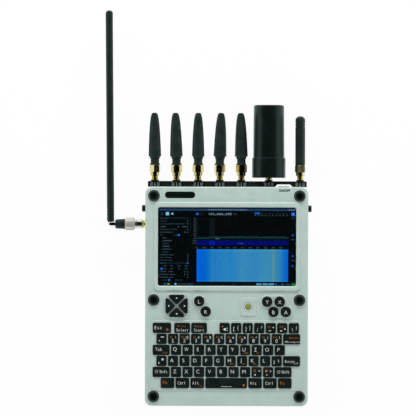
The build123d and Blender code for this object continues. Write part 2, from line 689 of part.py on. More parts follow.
def key_group(name):
    """Every key of one group, as separate solids."""
    keys = [Pos(x, y) * key(width) for group, x, y, width in key_places() if group == name]
    return Compound(children=keys) if len(keys) > 1 else keys[0]


def petal(turn):
    """One arm of the direction pad."""
    arm = extrude(Pos(0, 0, BUTTON_FOOT) * petal_outline(), COLLAR_TOP + PETAL_RISE - BUTTON_FOOT)
    arm = chamfer(arm.faces().sort_by(Axis.Z)[-1].edges(), BREAK_EDGE)
    return Pos(PAD_X, PAD_Y) * Rot(0, 0, turn) * arm


def round_button(centre):
    """A round button with a softened top edge."""
    body = rod(BUTTON_D, BUTTON_FOOT, COLLAR_TOP + BUTTON_RISE)
    return Pos(*centre) * fillet(body.edges().sort_by(Axis.Z)[-1], 2 * BREAK_EDGE)


def trackball_parts():
    """The ring in the plate, the ball, and the carrier that the ball clicks."""
    ring_low = COLLAR_TOP - BALL_RING_T
    place = Pos(BALL_X, BALL_Y)
    ring = rod(BALL_RING_D, ring_low, COLLAR_TOP) - rod(BALL_HOLE_D, ring_low, COLLAR_TOP)
    ball = Pos(0, 0, BALL_Z) * Sphere(BALL_D / 2)
    carrier = rod(CARRIER_D, BALL_Z - BALL_D / 2 - CARRIER_FLOOR, BALL_Z - CARRIER_LIP)
    carrier -= Pos(0, 0, BALL_Z) * Sphere(BALL_D / 2 + RUN_GAP)
    return place * ring, place * ball, place * carrier


def board(area, extras=()):
    """A circuit board on its standoffs, with the parts soldered to it."""
    low_x, high_x, low_y, high_y = area
    sheet = block(low_x, high_x, low_y, high_y, BOARD_Z, BOARD_Z + BOARD_T)
    for extra in extras:
        sheet += extra
    return sheet


def main_board():
    """Main board with its charging socket at the right wall and the module's connectors."""
    top = BOARD_Z + BOARD_T
    socket = SlotOverall(USB_W, USB_H)
    shell = extrude(Pos(0, 0, -USB_L - WALL) * socket, USB_L + WALL / 2)
    shell = out_from_right(USB_Y, top + USB_H / 2) * shell
    mouth = SlotOverall(USB_W - 2 * USB_SHELL, USB_H - 2 * USB_SHELL)
    shell -= out_from_right(USB_Y, top + USB_H / 2) * extrude(Pos(0, 0, -USB_L) * mouth, USB_L)
    header_y = HEADER_L / 2
    header = block(-MODULE_W / 2, MODULE_W / 2, VENT_Y - header_y, VENT_Y + header_y, top, top + MODULE_STACK)
    return board(MAIN_BOARD, (shell, header))


def compute_module():
    """Computer module plugged on the main board."""
    low = BOARD_Z + BOARD_T + MODULE_STACK
    edge = MODULE_L / 2
    sheet = block(-MODULE_W / 2, MODULE_W / 2, VENT_Y - edge, VENT_Y + edge, low, low + MODULE_T)
    chip = MODULE_T + low
    half = CHIP_W / 2
    return sheet + block(-half, half, VENT_Y - half, VENT_Y + half, chip, chip + MODULE_T)


def radio_board():
    """Radio board with its shield can."""
    low_x, high_x, low_y, high_y = RADIO_BOARD
    top = BOARD_Z + BOARD_T
    can = block(low_x + SHIELD_INSET, high_x - SHIELD_INSET, low_y + SHIELD_INSET, high_y - SHIELD_INSET,
                top, top + SHIELD_H)
    return board(RADIO_BOARD, (can,))


def cell_frames():
    """Frames at the middle of each battery cell, local Z along the cell."""
    centres = (BATTERY_Y - CELL_PITCH / 2, BATTERY_Y + CELL_PITCH / 2)
    return [Plane(origin=(0, y, CELL_Z), x_dir=(0, 1, 0), z_dir=(1, 0, 0)).location for y in centres]


def battery_cells():
    """Two round cells with their raised ends."""
    cell = rod(CELL_D, -CELL_L / 2, CELL_L / 2) + rod(CELL_NUB_D, CELL_L / 2, CELL_L / 2 + CELL_NUB_L)
    return Compound(children=[frame * cell for frame in cell_frames()])


def battery_holder():
    """Cradle on the floor, with a trough for each cell."""
    half_l = CELL_PITCH / 2 + CELL_D / 2 + HOLDER_WALL
    half_w = CELL_L / 2 + CELL_NUB_L + FIT_GAP + HOLDER_WALL
    cradle = block(-half_w, half_w, BATTERY_Y - half_l, BATTERY_Y + half_l, REAR_T, REAR_T + HOLDER_H)
    room = rod(CELL_D + 2 * RUN_GAP, FIT_GAP - half_w + HOLDER_WALL, half_w - HOLDER_WALL)
    for frame in cell_frames():
        cradle -= frame * room
    return cradle


def speakers():
    """Two speaker boxes on the floor."""
    boxes = []
    for side in (-1, 1):
        box = slab(SPEAKER_W, SPEAKER_L, KEY_R, REAR_T, REAR_T + SPEAKER_H, side * SPEAKER_X, BATTERY_Y)
        boxes.append(box)
    return Compound(children=boxes)


def antenna_rail():
    """Black bar on the top wall, with a pocket for each jack's nut and a finger notch."""
    width = RAIL_RIGHT - RAIL_LEFT
    middle = (RAIL_RIGHT + RAIL_LEFT) / 2
    low = CONNECTOR_Z - RAIL_H / 2
    high = CONNECTOR_Z + RAIL_H / 2
    bar = block(middle - width / 2, middle + width / 2, TOP_WALL, TOP_WALL + RAIL_DEPTH, low, high)
    corners = bar.edges().filter_by(Axis.Z).group_by(Axis.Y)[-1]
    bar = fillet(corners, RAIL_END_R)
    for x in ANTENNA_X:
        bar -= block(x - POCKET_W / 2, x + POCKET_W / 2, TOP_WALL, TOP_WALL + RAIL_DEPTH - RAIL_WEB, low, high)
        bar -= up_from_top(x) * rod(JACK_D + 2 * RUN_GAP, 0, RAIL_DEPTH)
    foot = NOTCH_W / 2
    crown = foot - NOTCH_SLOPE
    notch = Polygon((-foot, 0), (foot, 0), (crown, NOTCH_DEPTH), (-crown, NOTCH_DEPTH), align=None)
    return bar - extrude(Pos(POWER_X, TOP_WALL, low) * notch, high - low)


def rail_nuts():
    """A hex nut in each pocket and a flange outside the rail's web."""
    bore = JACK_D + 2 * RUN_GAP
    nut = hexagon(HEX_AF, 0, RAIL_DEPTH - RAIL_WEB) - rod(bore, 0, RAIL_DEPTH)
    flange = rod(FLANGE_D, RAIL_DEPTH, RAIL_DEPTH + FLANGE_T) - rod(bore, 0, RAIL_DEPTH + FLANGE_T)
    return Compound(children=[up_from_top(x) * piece for x in ANTENNA_X for piece in (nut, flange)])


def jack_barrel():
    """Threaded barrel of a jack, on the Z axis with the case wall's outer face at 0."""
    barrel = rod(JACK_D, -WALL - JACK_TAIL, JACK_TIP)
    return chamfer(barrel.edges().sort_by(Axis.Z)[-1], BREAK_EDGE)


def rail_jacks():
    """One threaded barrel for each antenna."""
    return Compound(children=[up_from_top(x) * jack_barrel() for x in ANTENNA_X])


def antenna_nuts():
    """The gold nut of every antenna but the can, which screws straight on."""
    bore = JACK_D + 2 * RUN_GAP
    nuts = []
    for number, turn in NUT_TURNS.items():
        ring = rod(NUT_RING_D, NUT_LOW, NUT_LOW + NUT_RING_T)
        nut = ring + crowned_hexagon(HEX_AF, NUT_LOW + NUT_RING_T, NUT_TOP, turn + NUT_EDGE)
        nuts.append(up_from_top(ANTENNA_X[number]) * (nut - rod(bore, NUT_LOW, NUT_TOP)))
    return Compound(children=nuts)


def spigot(top):
    """Round tail that an antenna turns on, inside its nut."""
    return rod(JACK_D, NUT_TOP - SPIGOT_L, top)


def facet_section(height, half_w, half_t):
    """Eight-sided section of a paddle at one height: flat front and back, bevelled sides."""
    flat = half_w * PADDLE_BEVEL
    edge = half_t * PADDLE_BEVEL
    corners = ((half_w, edge), (flat, half_t), (-flat, half_t), (-half_w, edge),
               (-half_w, -edge), (-flat, -half_t), (flat, -half_t), (half_w, -edge))
    return Pos(0, 0, height) * make_face(Polyline(*corners, close=True))


def paddle_section(foot, angle):
    """Section of a paddle's blade: its width closes slowly, then fast, towards the tip."""
    turn = math.radians(angle)
    share = (1 - PADDLE_DRAW * math.sin(turn)) * math.cos(turn) ** PADDLE_POWER
    height = foot + (PADDLE_L - PADDLE_LIP_L) * math.sin(turn)
    return facet_section(height, PADDLE_HALF_W * share, PADDLE_HALF_T * share)


def paddle_antenna(number):
    """Tapered flat paddle on a ribbed neck."""
    base = NUT_TOP
    shoulder = base + NECK_L
    foot = shoulder + PADDLE_LIP_L
    neck_r = NECK_D / 2
    waist_r = NECK_WAIST_D / 2
    waist_low = base + NECK_STEP
    waist_high = shoulder - 2 * NECK_STEP
    neck = turned((0, base), (neck_r, base), (neck_r, waist_low), (waist_r, waist_low), (waist_r, waist_high),
                  (neck_r, waist_high + NECK_STEP / 2), (neck_r, shoulder), (0, shoulder))
    lip = loft([facet_section(shoulder, PADDLE_HALF_W + PADDLE_LIP, PADDLE_HALF_T + PADDLE_LIP),
                facet_section(foot, PADDLE_HALF_W, PADDLE_HALF_T)])
    blade = loft([paddle_section(foot, angle) for angle in PADDLE_ANGLES], ruled=True)
    whole = spigot(base) + neck + lip + blade
    return up_from_top(ANTENNA_X[number]) * Rot(0, 0, PADDLE_TURNS[number]) * whole


def can_antenna():
    """Fat round antenna: a wide base and a long can with a little draft."""
    step = CAN_LOW + CAN_BASE_L
    base = rod(CAN_BASE_D, CAN_LOW, step)
    base = fillet(base.edges().filter_by(GeomType.CIRCLE), BREAK_EDGE * 2)
    upper = turned((0, step), (CAN_D / 2, step), (CAN_TOP_D / 2, CAN_TOP), (0, CAN_TOP))
    upper = fillet(upper.edges().sort_by(Axis.Z)[-1], CAN_FILLET)
    socket = rod(JACK_D + 2 * RUN_GAP, CAN_LOW, JACK_TIP + FIT_GAP)
    return up_from_top(CAN_X) * (base + upper - socket)


def stub_antenna():
    """Short round rod with a domed top and two grooves."""
    body = rod(STUB_D, NUT_TOP, STUB_TOP)
    body = fillet(body.edges().sort_by(Axis.Z)[-1], STUB_D / 2 - BREAK_EDGE)
    for height in STUB_GROOVES:
        ring = rod(STUB_D + 1, height, height + STUB_GROOVE_W)
        body -= ring - rod(STUB_D - 2 * STUB_GROOVE_DEPTH, height, height + STUB_GROOVE_W)
    return up_from_top(STUB_X) * (body + spigot(NUT_TOP))


def power_button():
    """Pill button in the top wall, with a flange inside that keeps it in."""
    length = POWER_FLANGE + WALL + POWER_TRAVEL + FIT_GAP
    pill = extrude(Pos(0, 0, -WALL - POWER_FLANGE) * SlotOverall(POWER_W, POWER_H), length)
    grown = 2 * POWER_FLANGE
    flange = SlotOverall(POWER_W + grown, POWER_H + grown)
    pill += extrude(Pos(0, 0, -WALL - FIT_GAP - POWER_FLANGE) * flange, POWER_FLANGE)
    return up_from_top(POWER_X) * pill


def side_jack():
    """Jack on the left wall: a waisted cone on a threaded barrel."""
    cone = turned((0, 0), (CONE_D / 2, 0), (CONE_WAIST_D / 2, CONE_WAIST),
                  (CONE_END_D / 2, CONE_L), (0, CONE_L))
    return out_from_left() * (cone + rod(JACK_D, -WALL - JACK_TAIL, ADAPTER_LOW + ADAPTER_L / 2))


def side_adapter():
    """Bright adapter between the jack and the whip's nut."""
    body = rod(ADAPTER_D, ADAPTER_LOW, ADAPTER_TOP)
    body = chamfer(body.edges().filter_by(GeomType.CIRCLE), BREAK_EDGE)
    body += rod(GASKET_D, ADAPTER_TOP, WHIP_NUT_LOW)
    body += rod(JACK_D, ADAPTER_TOP, WHIP_NUT_LOW + PLUG_L)
    body -= rod(JACK_D + 2 * RUN_GAP, ADAPTER_LOW, ADAPTER_LOW + ADAPTER_L / 2 + FIT_GAP)
    return out_from_left() * body


def whip_nut():
    """Grip nut that holds the whip."""
    nut = rod(WHIP_NUT_D, WHIP_NUT_LOW, WHIP_NUT_TOP)
    nut = chamfer(nut.edges().filter_by(GeomType.CIRCLE), BREAK_EDGE)
    return out_from_left() * (nut - rod(JACK_D + 2 * RUN_GAP, WHIP_NUT_LOW, WHIP_NUT_TOP))


def whip_collar():
    """Black collar that turns in the nut."""
    body = turned((0, WHIP_NUT_TOP + RUN_GAP), (COLLAR_D / 2, WHIP_NUT_TOP + RUN_GAP),
                  (COLLAR_END_D / 2, COLLAR_END - BREAK_EDGE), (COLLAR_END_D / 2 - BREAK_EDGE, COLLAR_END),
                  (0, COLLAR_END))
    return out_from_left() * (body + rod(JACK_D, WHIP_NUT_TOP - PLUG_L, WHIP_NUT_TOP + RUN_GAP))


def whip_fork():
    """Bright fork on the collar: two cheeks round the pivot."""
    face_x = -SIDE_WALL - COLLAR_END
    low = CONNECTOR_Z - FORK_H / 2
    high = CONNECTOR_Z + FORK_H / 2
    half = FORK_W / 2
    body = block(PIVOT_X, face_x, SIDE_Y - half, SIDE_Y + half, low, high)
    body += Pos(PIVOT_X, SIDE_Y) * rod(FORK_W, low, high)
    slot = FORK_SLOT / 2
    body -= block(PIVOT_X - FORK_W, face_x - FORK_ROOT, SIDE_Y - FORK_W, SIDE_Y + FORK_W,
                  CONNECTOR_Z - slot, CONNECTOR_Z + slot)
    return body - Pos(PIVOT_X, SIDE_Y) * rod(PIN_D + 2 * RUN_GAP, low, high)


def whip_pin():
    """Pivot pin through the fork."""
    reach = FORK_H / 2 + PIN_PROUD
    return Pos(PIVOT_X, SIDE_Y) * rod(PIN_D, CONNECTOR_Z - reach, CONNECTOR_Z + reach)


def along_whip():
    """Frame on the pivot: local Z runs up the whip, which leans out a little from +Y."""
    lean = math.radians(WHIP_LEAN)
    across = (math.cos(lean), math.sin(lean), 0)
    up = (-math.sin(lean), math.cos(lean), 0)
    return Plane(origin=(PIVOT_X, SIDE_Y, CONNECTOR_Z), x_dir=across, z_dir=up).location


def stage_diameter(stage):
    """Outside diameter of a telescopic stage, 0 being the outer tube."""
    return TUBE_D - 2 * stage * (TUBE_WALL + TUBE_LAP)


def whip_tang():
    """Bright tang in the fork, with the plug that the outer tube is crimped on."""
    half_t = FORK_SLOT / 2 - TANG_GAP
    tang_r = FORK_W / 2 - FIT_GAP
    low = CONNECTOR_Z - half_t
    high = CONNECTOR_Z + half_t
    blade = Pos(PIVOT_X, SIDE_Y) * Rot(0, 0, WHIP_LEAN) * block(-tang_r, tang_r, 0, TUBE_RISE, low, high)
    blade += Pos(PIVOT_X, SIDE_Y) * rod(2 * tang_r, low, high)
    blade += along_whip() * rod(stage_diameter(1), TUBE_RISE, TUBE_RISE + TANG_PLUG)
    return blade - Pos(PIVOT_X, SIDE_Y) * rod(PIN_D + 2 * RUN_GAP, CONNECTOR_Z - FORK_H, CONNECTOR_Z + FORK_H)


def whip_outer_tube():
    """Outer tube with its crimped rings."""
    tube = rod(TUBE_D, TUBE_RISE, TUBE_END)
    for height in CRIMPS:
        low = TUBE_RISE + height
        tube -= rod(TUBE_D + 1, low, low + CRIMP_W) - rod(TUBE_D - 2 * CRIMP_DEPTH, low, low + CRIMP_W)
    return along_whip() * (tube - rod(TUBE_D - 2 * TUBE_WALL, TUBE_RISE, TUBE_END))


def whip_stage(stage):
    """A sliding tube inside the one before it."""
    outside = stage_diameter(stage)
    bore = rod(outside - 2 * TUBE_WALL, STAGE_LOW, TUBE_END)
    return along_whip() * (rod(outside, STAGE_LOW, TUBE_END) - bore)


def whip_tip():
    """Innermost rod with its domed cap."""
    cap = rod(CAP_D, TUBE_END + RUN_GAP, TUBE_END + CAP_L)
    cap = fillet(cap.edges().sort_by(Axis.Z)[-1], CAP_D / 2 - BREAK_EDGE)
    return along_whip() * (cap + rod(stage_diameter(3), STAGE_LOW, TUBE_END + RUN_GAP))


def all_pieces():
    """Every node by name."""
    ring, ball, carrier = trackball_parts()
    pieces = {
        "front_housing": front_housing(),
        "rear_housing": rear_housing(),
        "face_screws": Compound(children=[Pos(x, y) * face_screw() for x, y in face_screw_places()]),
        "side_screws": Compound(children=[out_from_left(SIDE_SCREW_Y, SIDE_SCREW_Z) * side_screw(),
                                          out_from_right(SIDE_SCREW_Y, SIDE_SCREW_Z) * side_screw()]),
        "display_panel": display_panel(),
        "cover_glass": cover_glass(),
        "keyboard_board": keyboard_board(),
        "key_mat": key_mat(),
        "main_board": main_board(),
        "compute_module": compute_module(),
        "radio_board": radio_board(),
        "battery_holder": battery_holder(),
        "battery_cells": battery_cells(),
        "speakers": speakers(),
        "antenna_rail": antenna_rail(),
        "rail_nuts": rail_nuts(),
        "rail_jacks": rail_jacks(),
        "antenna_nuts": antenna_nuts(),
        "power_button": power_button(),
        "trackball_ring": ring,
        "trackball": ball,
        "trackball_carrier": carrier,
        "can_antenna": can_antenna(),
        "stub_antenna": stub_antenna(),
        "side_jack": side_jack(),
        "side_adapter": side_adapter(),
        "whip_nut": whip_nut(),
        "whip_collar": whip_collar(),
        "whip_fork": whip_fork(),
        "whip_pin": whip_pin(),
        "whip_tang": whip_tang(),
        "whip_outer_tube": whip_outer_tube(),
        "whip_middle_tube": whip_stage(1),
        "whip_inner_tube": whip_stage(2),
        "whip_tip": whip_tip(),
    }
    for name in KEY_GROUPS:
        pieces[name] = key_group(name)
    for name, turn in petal_turns().items():
        pieces[name] = petal(turn)
    for name, centre in BUTTONS.items():
        pieces[name] = round_button(centre)
    for number in range(PADDLES):
        pieces[f"paddle_antenna_{number + 1}"] = paddle_antenna(number)
    return pieces


os.makedirs("parts", exist_ok=True)
for name, piece in all_pieces().items():
    export_step(piece, f"parts/{name}.step")
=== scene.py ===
# %% [markdown]
# # Dressing a handheld spectrum analyser
#
# The model that this script starts from has the right sizes and moves the right way, but it
# is bare: no finish, no printing on the keys and nothing on the display. Each step below
# takes one finish or one piece of the instrument, says what it is on the real thing, and
# makes it.

# %% The frame
import math
import random

import bmesh
import bpy
from mathutils import Matrix, Vector


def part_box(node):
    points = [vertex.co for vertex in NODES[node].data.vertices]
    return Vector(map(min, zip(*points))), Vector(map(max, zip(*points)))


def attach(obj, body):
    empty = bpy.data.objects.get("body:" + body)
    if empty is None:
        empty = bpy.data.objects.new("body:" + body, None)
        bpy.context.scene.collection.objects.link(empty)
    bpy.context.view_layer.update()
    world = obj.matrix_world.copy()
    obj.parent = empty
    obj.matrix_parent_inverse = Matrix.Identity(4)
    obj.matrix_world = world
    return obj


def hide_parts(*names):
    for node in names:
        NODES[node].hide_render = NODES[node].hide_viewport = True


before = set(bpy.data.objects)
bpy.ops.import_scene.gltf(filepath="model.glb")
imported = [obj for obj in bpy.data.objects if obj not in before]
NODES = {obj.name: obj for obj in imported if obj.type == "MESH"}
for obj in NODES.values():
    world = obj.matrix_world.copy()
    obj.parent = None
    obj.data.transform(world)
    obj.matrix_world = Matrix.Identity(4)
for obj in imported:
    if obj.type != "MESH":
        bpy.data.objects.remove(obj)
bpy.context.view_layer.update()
MM = 0.001

# %% [markdown]
# ## The camera
#
# The instrument lies on its back and is looked at from straight above, so that its long side
# runs up the picture. A very long lens keeps the sides of the case from showing and draws the
# low antennas at the same scale as the high keys. The camera is rolled by a fifth of a
# degree, because the instrument does not lie quite square in its picture.

# %% Camera
FIELD = 336.4 * MM          # width of the picture at the height of the plate
PICTURE_MIDDLE = Vector((-15.22, 71.4, 22.0)) * MM
ROLL = math.radians(0.18)

lens = bpy.data.cameras.new("long_lens")
lens.lens = 500
lens.dof.use_dof = False
reach = FIELD * lens.lens / lens.sensor_width
camera = bpy.data.objects.new("camera", lens)
bpy.context.scene.collection.objects.link(camera)
camera.location = PICTURE_MIDDLE + Vector((0, 0, reach))
camera.rotation_euler = (0, 0, ROLL)
lens.clip_end = 4 * reach
bpy.context.scene.camera = camera
print("camera height in m", round(camera.location.z, 2))

# %% [markdown]
# ## Two small tools for finishes
#
# Colours are written as the hex values of a paint chart, which are meant for the eye. The
# renderer counts light, so every colour goes through one function that undoes the curve of a
# screen. The second tool adds one node to a material, with its settings and what feeds it.


# %% Colours and nodes
def light(colour):
    """A hex colour as the amount of red, green and blue light, with an alpha of 1."""
    parts = [int(colour[at:at + 2], 16) / 255 for at in (1, 3, 5)]
    return tuple(c / 12.92 if c <= 0.04045 else ((c + 0.055) / 1.055) ** 2.4 for c in parts) + (1.0,)


def add(tree, kind, feeds=None, **settings):
    """Adds a node. feeds gives its inputs by name or number: a value, or the output of another node."""
    node = tree.nodes.new("ShaderNode" + kind)
    for name, value in settings.items():
        setattr(node, name, value)
    for name, value in (feeds or {}).items():
        if isinstance(value, bpy.types.NodeSocket):
            tree.links.new(value, node.inputs[name])
        else:
            node.inputs[name].default_value = value
    return node


print("mid grey", [round(c, 3) for c in light("#808080")])

# %% [markdown]
# ## The bench and the light
#
# The instrument is shown on a white table in a white room. The table takes the object's soft
# shadow from the lamps, and for the camera and for reflections it is made white by its own
# glow, so the lamps need not be turned up until the pale case washes out.
#
# The light is that of a small studio: a wide lamp beyond the antennas, which draws a bright
# line on every edge that faces it, two tall ones at the sides for the stripes on the round
# antennas, and a weak one from the foot. A black card hangs round the lens, so that flat
# glossy faces that look at the camera stay dark.

# %% Table and room
HAZE = 0.94                 # share of the table's look that is its own white


def white_ground(name, colour, haze):
    """A matt white that shows as pure white to the camera and in reflections."""
    material = bpy.data.materials.new(name)
    material.use_nodes = True
    tree = material.node_tree
    tree.nodes.clear()
    paint = add(tree, "BsdfDiffuse", {"Color": light(colour)})
    glow = add(tree, "Emission", {"Color": light("#FFFFFF"), "Strength": 1.0})
    path = add(tree, "LightPath")
    mirrors = add(tree, "Math", {0: path.outputs["Is Glossy Ray"],
                                 1: path.outputs["Is Transmission Ray"]}, operation="MAXIMUM")
    seen = add(tree, "Math", {0: path.outputs["Is Camera Ray"], 1: mirrors.outputs[0]}, operation="MAXIMUM")
    share = add(tree, "Math", {0: seen.outputs[0], 1: haze}, operation="MULTIPLY")
    mix = add(tree, "MixShader", {0: share.outputs[0], 1: paint.outputs[0], 2: glow.outputs[0]})
    add(tree, "OutputMaterial", {"Surface": mix.outputs[0]})
    return material


def flat_sheet(name, size, height, material):
    """A square sheet above the origin, facing up, that is not part of the object."""
    shape = bmesh.new()
    bmesh.ops.create_grid(shape, x_segments=1, y_segments=1, size=size / 2,
                          matrix=Matrix.Translation((0, 0, height)))
    mesh = bpy.data.meshes.new(name)
    shape.to_mesh(mesh)
    shape.free()
    mesh.materials.append(material)
    sheet = bpy.data.objects.new(name, mesh)
    bpy.context.scene.collection.objects.link(sheet)
    return sheet


flat_sheet("table", 12.0, 0.0, white_ground("white_table", "#F4F6F5", HAZE))

world = bpy.data.worlds.new("white_room")
bpy.context.scene.world = world
world.use_nodes = True
room = world.node_tree
room.nodes.clear()
path = add(room, "LightPath")
mirrors = add(room, "Math", {0: path.outputs["Is Glossy Ray"],
                             1: path.outputs["Is Transmission Ray"]}, operation="MAXIMUM")
seen = add(room, "Math", {0: path.outputs["Is Camera Ray"], 1: mirrors.outputs[0]}, operation="MAXIMUM")
AIR = 0.36                  # strength of the room's light on the object
strength = add(room, "MapRange", {"Value": seen.outputs[0], "To Min": AIR, "To Max": 1.0})
back = add(room, "Background", {"Color": light("#FFFFFF"), "Strength": strength.outputs[0]})
add(room, "OutputWorld", {"Surface": back.outputs[0]})
print("room light", AIR)

# %% Lamps
AIM = Vector((0, 60, 15)) * MM
# Name: place in metres, width and length in metres, watts.
LAMPS = {
    "beyond_the_antennas": ((0.0, 1.05, 0.46), 1.2, 0.3, 12.2),
    "left_side": ((-1.1, 0.1, 0.42), 0.3, 1.2, 4.5),
    "right_side": ((1.1, 0.1, 0.42), 0.3, 1.2, 4.5),
    "foot": ((0.1, -1.2, 0.3), 1.0, 0.3, 6.0),
}

for name, (place, width, length, watts) in LAMPS.items():
    lamp = bpy.data.lights.new(name, "AREA")
    lamp.shape = "RECTANGLE"
    lamp.size = width
    lamp.size_y = length
    lamp.energy = watts
    holder = bpy.data.objects.new(name, lamp)
    bpy.context.scene.collection.objects.link(holder)
    holder.location = place
    holder.rotation_euler = (AIM - holder.location).to_track_quat("-Z", "Y").to_euler()
    holder.visible_camera = False
    holder.visible_glossy = False
print("lamps", len(LAMPS))

# %% The card round the lens
CARD_SIZE = 3.0
CARD_HEIGHT = 1.0

card_cloth = bpy.data.materials.new("black_flock")
card_cloth.use_nodes = True
card_cloth.node_tree.nodes.clear()
flock = add(card_cloth.node_tree, "BsdfDiffuse", {"Color": light("#050606")})
add(card_cloth.node_tree, "OutputMaterial", {"Surface": flock.outputs[0]})
card = flat_sheet("lens_card", CARD_SIZE, CARD_HEIGHT, card_cloth)
card.data.transform(Matrix.Translation((0, 0.06, 0)))
card.visible_camera = False
card.visible_shadow = False
card.visible_diffuse = False
print("card half angle in degrees", round(math.degrees(math.atan(CARD_SIZE / 2 / CARD_HEIGHT)), 1))

# %% [markdown]
# ## One base for every finish
#
# Nearly every surface here is one of three things: a moulded plastic, a coated metal or a
# plated metal. All have a fine unevenness that breaks up the light. The base below gives a
# colour that drifts a little between two tones, a roughness that drifts with it, and a fine
# bump. The grain of each finish is given in millimetres, and turned into the scale of the
# noise, because the noise has about one blob for each unit of length times its scale.


# %% Base finish
def grain_scale(grain_mm):
    """Noise scale for blobs of this size, as coordinates are in metres."""
    return 1 / (grain_mm * MM)


def base_finish(name, dark, pale, rough, grain_mm, depth_mm, metallic=0.0, rough_drift=0.06, drift_mm=9.0):
    """A finish with two close tones, a fine bump and a drifting roughness. Returns it with its shader."""
    material = bpy.data.materials.new(name)
    material.use_nodes = True
    tree = material.node_tree
    tree.nodes.clear()
    place = add(tree, "TexCoord").outputs["Object"]
    cloud = add(tree, "TexNoise", {"Vector": place, "Scale": grain_scale(drift_mm), "Detail": 3.0})
    tone = add(tree, "ValToRGB", {"Fac": cloud.outputs["Fac"]})
    tone.color_ramp.elements[0].position = 0.35
    tone.color_ramp.elements[0].color = light(dark)
    tone.color_ramp.elements[1].position = 0.65
    tone.color_ramp.elements[1].color = light(pale)
    grain = add(tree, "TexNoise", {"Vector": place, "Scale": grain_scale(grain_mm), "Detail": 2.0})
    bump = add(tree, "Bump", {"Height": grain.outputs["Fac"], "Distance": depth_mm * MM, "Strength": 0.6})
    sheen = add(tree, "MapRange", {"Value": grain.outputs["Fac"], "To Min": rough - rough_drift,
                                   "To Max": rough + rough_drift})
    shader = add(tree, "BsdfPrincipled", {"Base Color": tone.outputs["Color"], "Metallic": metallic,
                                          "Roughness": sheen.outputs[0], "Normal": bump.outputs[0]})
    add(tree, "OutputMaterial", {"Surface": shader.outputs[0]})
    return material, shader


def dress(material, *names):
    """Gives a finish to whole nodes of the frame."""
    for name in names:
        mesh = NODES[name].data
        mesh.materials.clear()
        mesh.materials.append(material)


print("a 0.2 mm grain has noise scale", grain_scale(0.2))

# %% [markdown]
# ## The case: anodised and bead blasted aluminium
#
# The two halves are cut from solid aluminium, blasted with glass beads and anodised clear with
# a cold green cast. Blasting leaves a grain of about 0.1 mm. It scatters so much light that
# the metal looks like pale satin paint, and only the cut edges flash. A blasted skin is drawn
# best as a satin paint with a fine grain. A tenth of a millimetre does not show at this
# size, so the grain is drawn at 0.35 mm.

# %% Case finish
blasted, shader = base_finish("bead_blasted_aluminium", "#B4C8C1", "#BACDC7", 0.5, 0.35, 0.012)
shader.inputs["Specular IOR Level"].default_value = 0.35
dress(blasted, "front_housing", "rear_housing")
print("case dressed")

# %% [markdown]
# ## Black fastenings and the black rail
#
# The face screws are steel with a black oxide skin, which stays slightly metallic and oily.
# The rail that the antennas stand on is aluminium, anodised black: harder and more matt. Both
# take a metallic share, because their dark skins are thin.

# %% Black metals
oxide, shader = base_finish("black_oxide_steel", "#17231F", "#222E2A", 0.28, 0.3, 0.008, metallic=0.35)
shader.inputs["Specular IOR Level"].default_value = 0.65
dress(oxide, "face_screws", "side_screws")
anodised, shader = base_finish("black_anodised_aluminium", "#141919", "#1D2323", 0.42, 0.25, 0.008,
                               metallic=0.3)
dress(anodised, "antenna_rail")
# A grey-green finish for the ring of painted highlight on each screw head.
screw_highlight_grey, shader = base_finish("black_oxide_painted_highlight", "#3E4C48", "#4A5854", 0.4, 0.3, 0.008, metallic=0.3)
# A pale grey finish for painted shade in the trackball's groove and painted highlights beside the rail nuts.
grey_painted_shade_and_highlight, shader = base_finish("grey_paint_for_shade_and_highlight", "#98A3A0", "#A8B2AF", 0.45, 0.3, 0.008, metallic=0.3)
print("black metals dressed")

# %% [markdown]
# ## Gold, nickel and chrome
#
# The radio jacks and nuts are brass with a thin gold plate, soft enough to take hairline
# scratches. The adapter and the whip's nut are nickel plated, which is warmer and duller than
# chrome. The fork and the inner stages of the whip are polished and chromed. A metal's colour
# is the colour of its mirror, and its roughness says how sharp that mirror is.

# %% Plated metals
gold, shader = base_finish("gold_plated_brass", "#E2D46C", "#EEE286", 0.2, 0.6, 0.0008, metallic=1.0,
                           rough_drift=0.02)
dress(gold, "side_jack")
pale_gold, shader = base_finish("thin_gold_plate", "#DAD194", "#E8E0AC", 0.22, 0.6, 0.0003, metallic=1.0,
                                rough_drift=0.02)
dress(pale_gold, "antenna_nuts")
nickel, shader = base_finish("nickel_plated_brass", "#E4E3DA", "#EEEDE6", 0.28, 0.5, 0.001, metallic=1.0,
                             rough_drift=0.02)
dress(nickel, "side_adapter")
# Also used for the strips of painted highlight on the rail nuts' corners.
nickel_and_edge_highlight, shader = base_finish("blasted_nickel_and_painted_highlight", "#CFD1C6", "#DEDFD6", 0.4, 0.35, 0.01, metallic=0.5)
dress(nickel_and_edge_highlight, "power_button")
chrome, shader = base_finish("polished_chrome", "#E6E8E7", "#F0F1F0", 0.1, 0.5, 0.001, metallic=1.0)
dress(chrome, "whip_pin", "whip_tang", "whip_middle_tube", "whip_inner_tube")
print("plated metals dressed")

# %% [markdown]
# ## Plastics and rubber
#
# Keys and buttons are black moulded plastic with a fine spark-eroded texture. The paddle
# antennas have a soft rubbery sleeve that is matt and a touch green. The can is a harder and
# glossier moulding, so it shows the side lamps as stripes. The whip's tubes are coated
# semi-matt black.

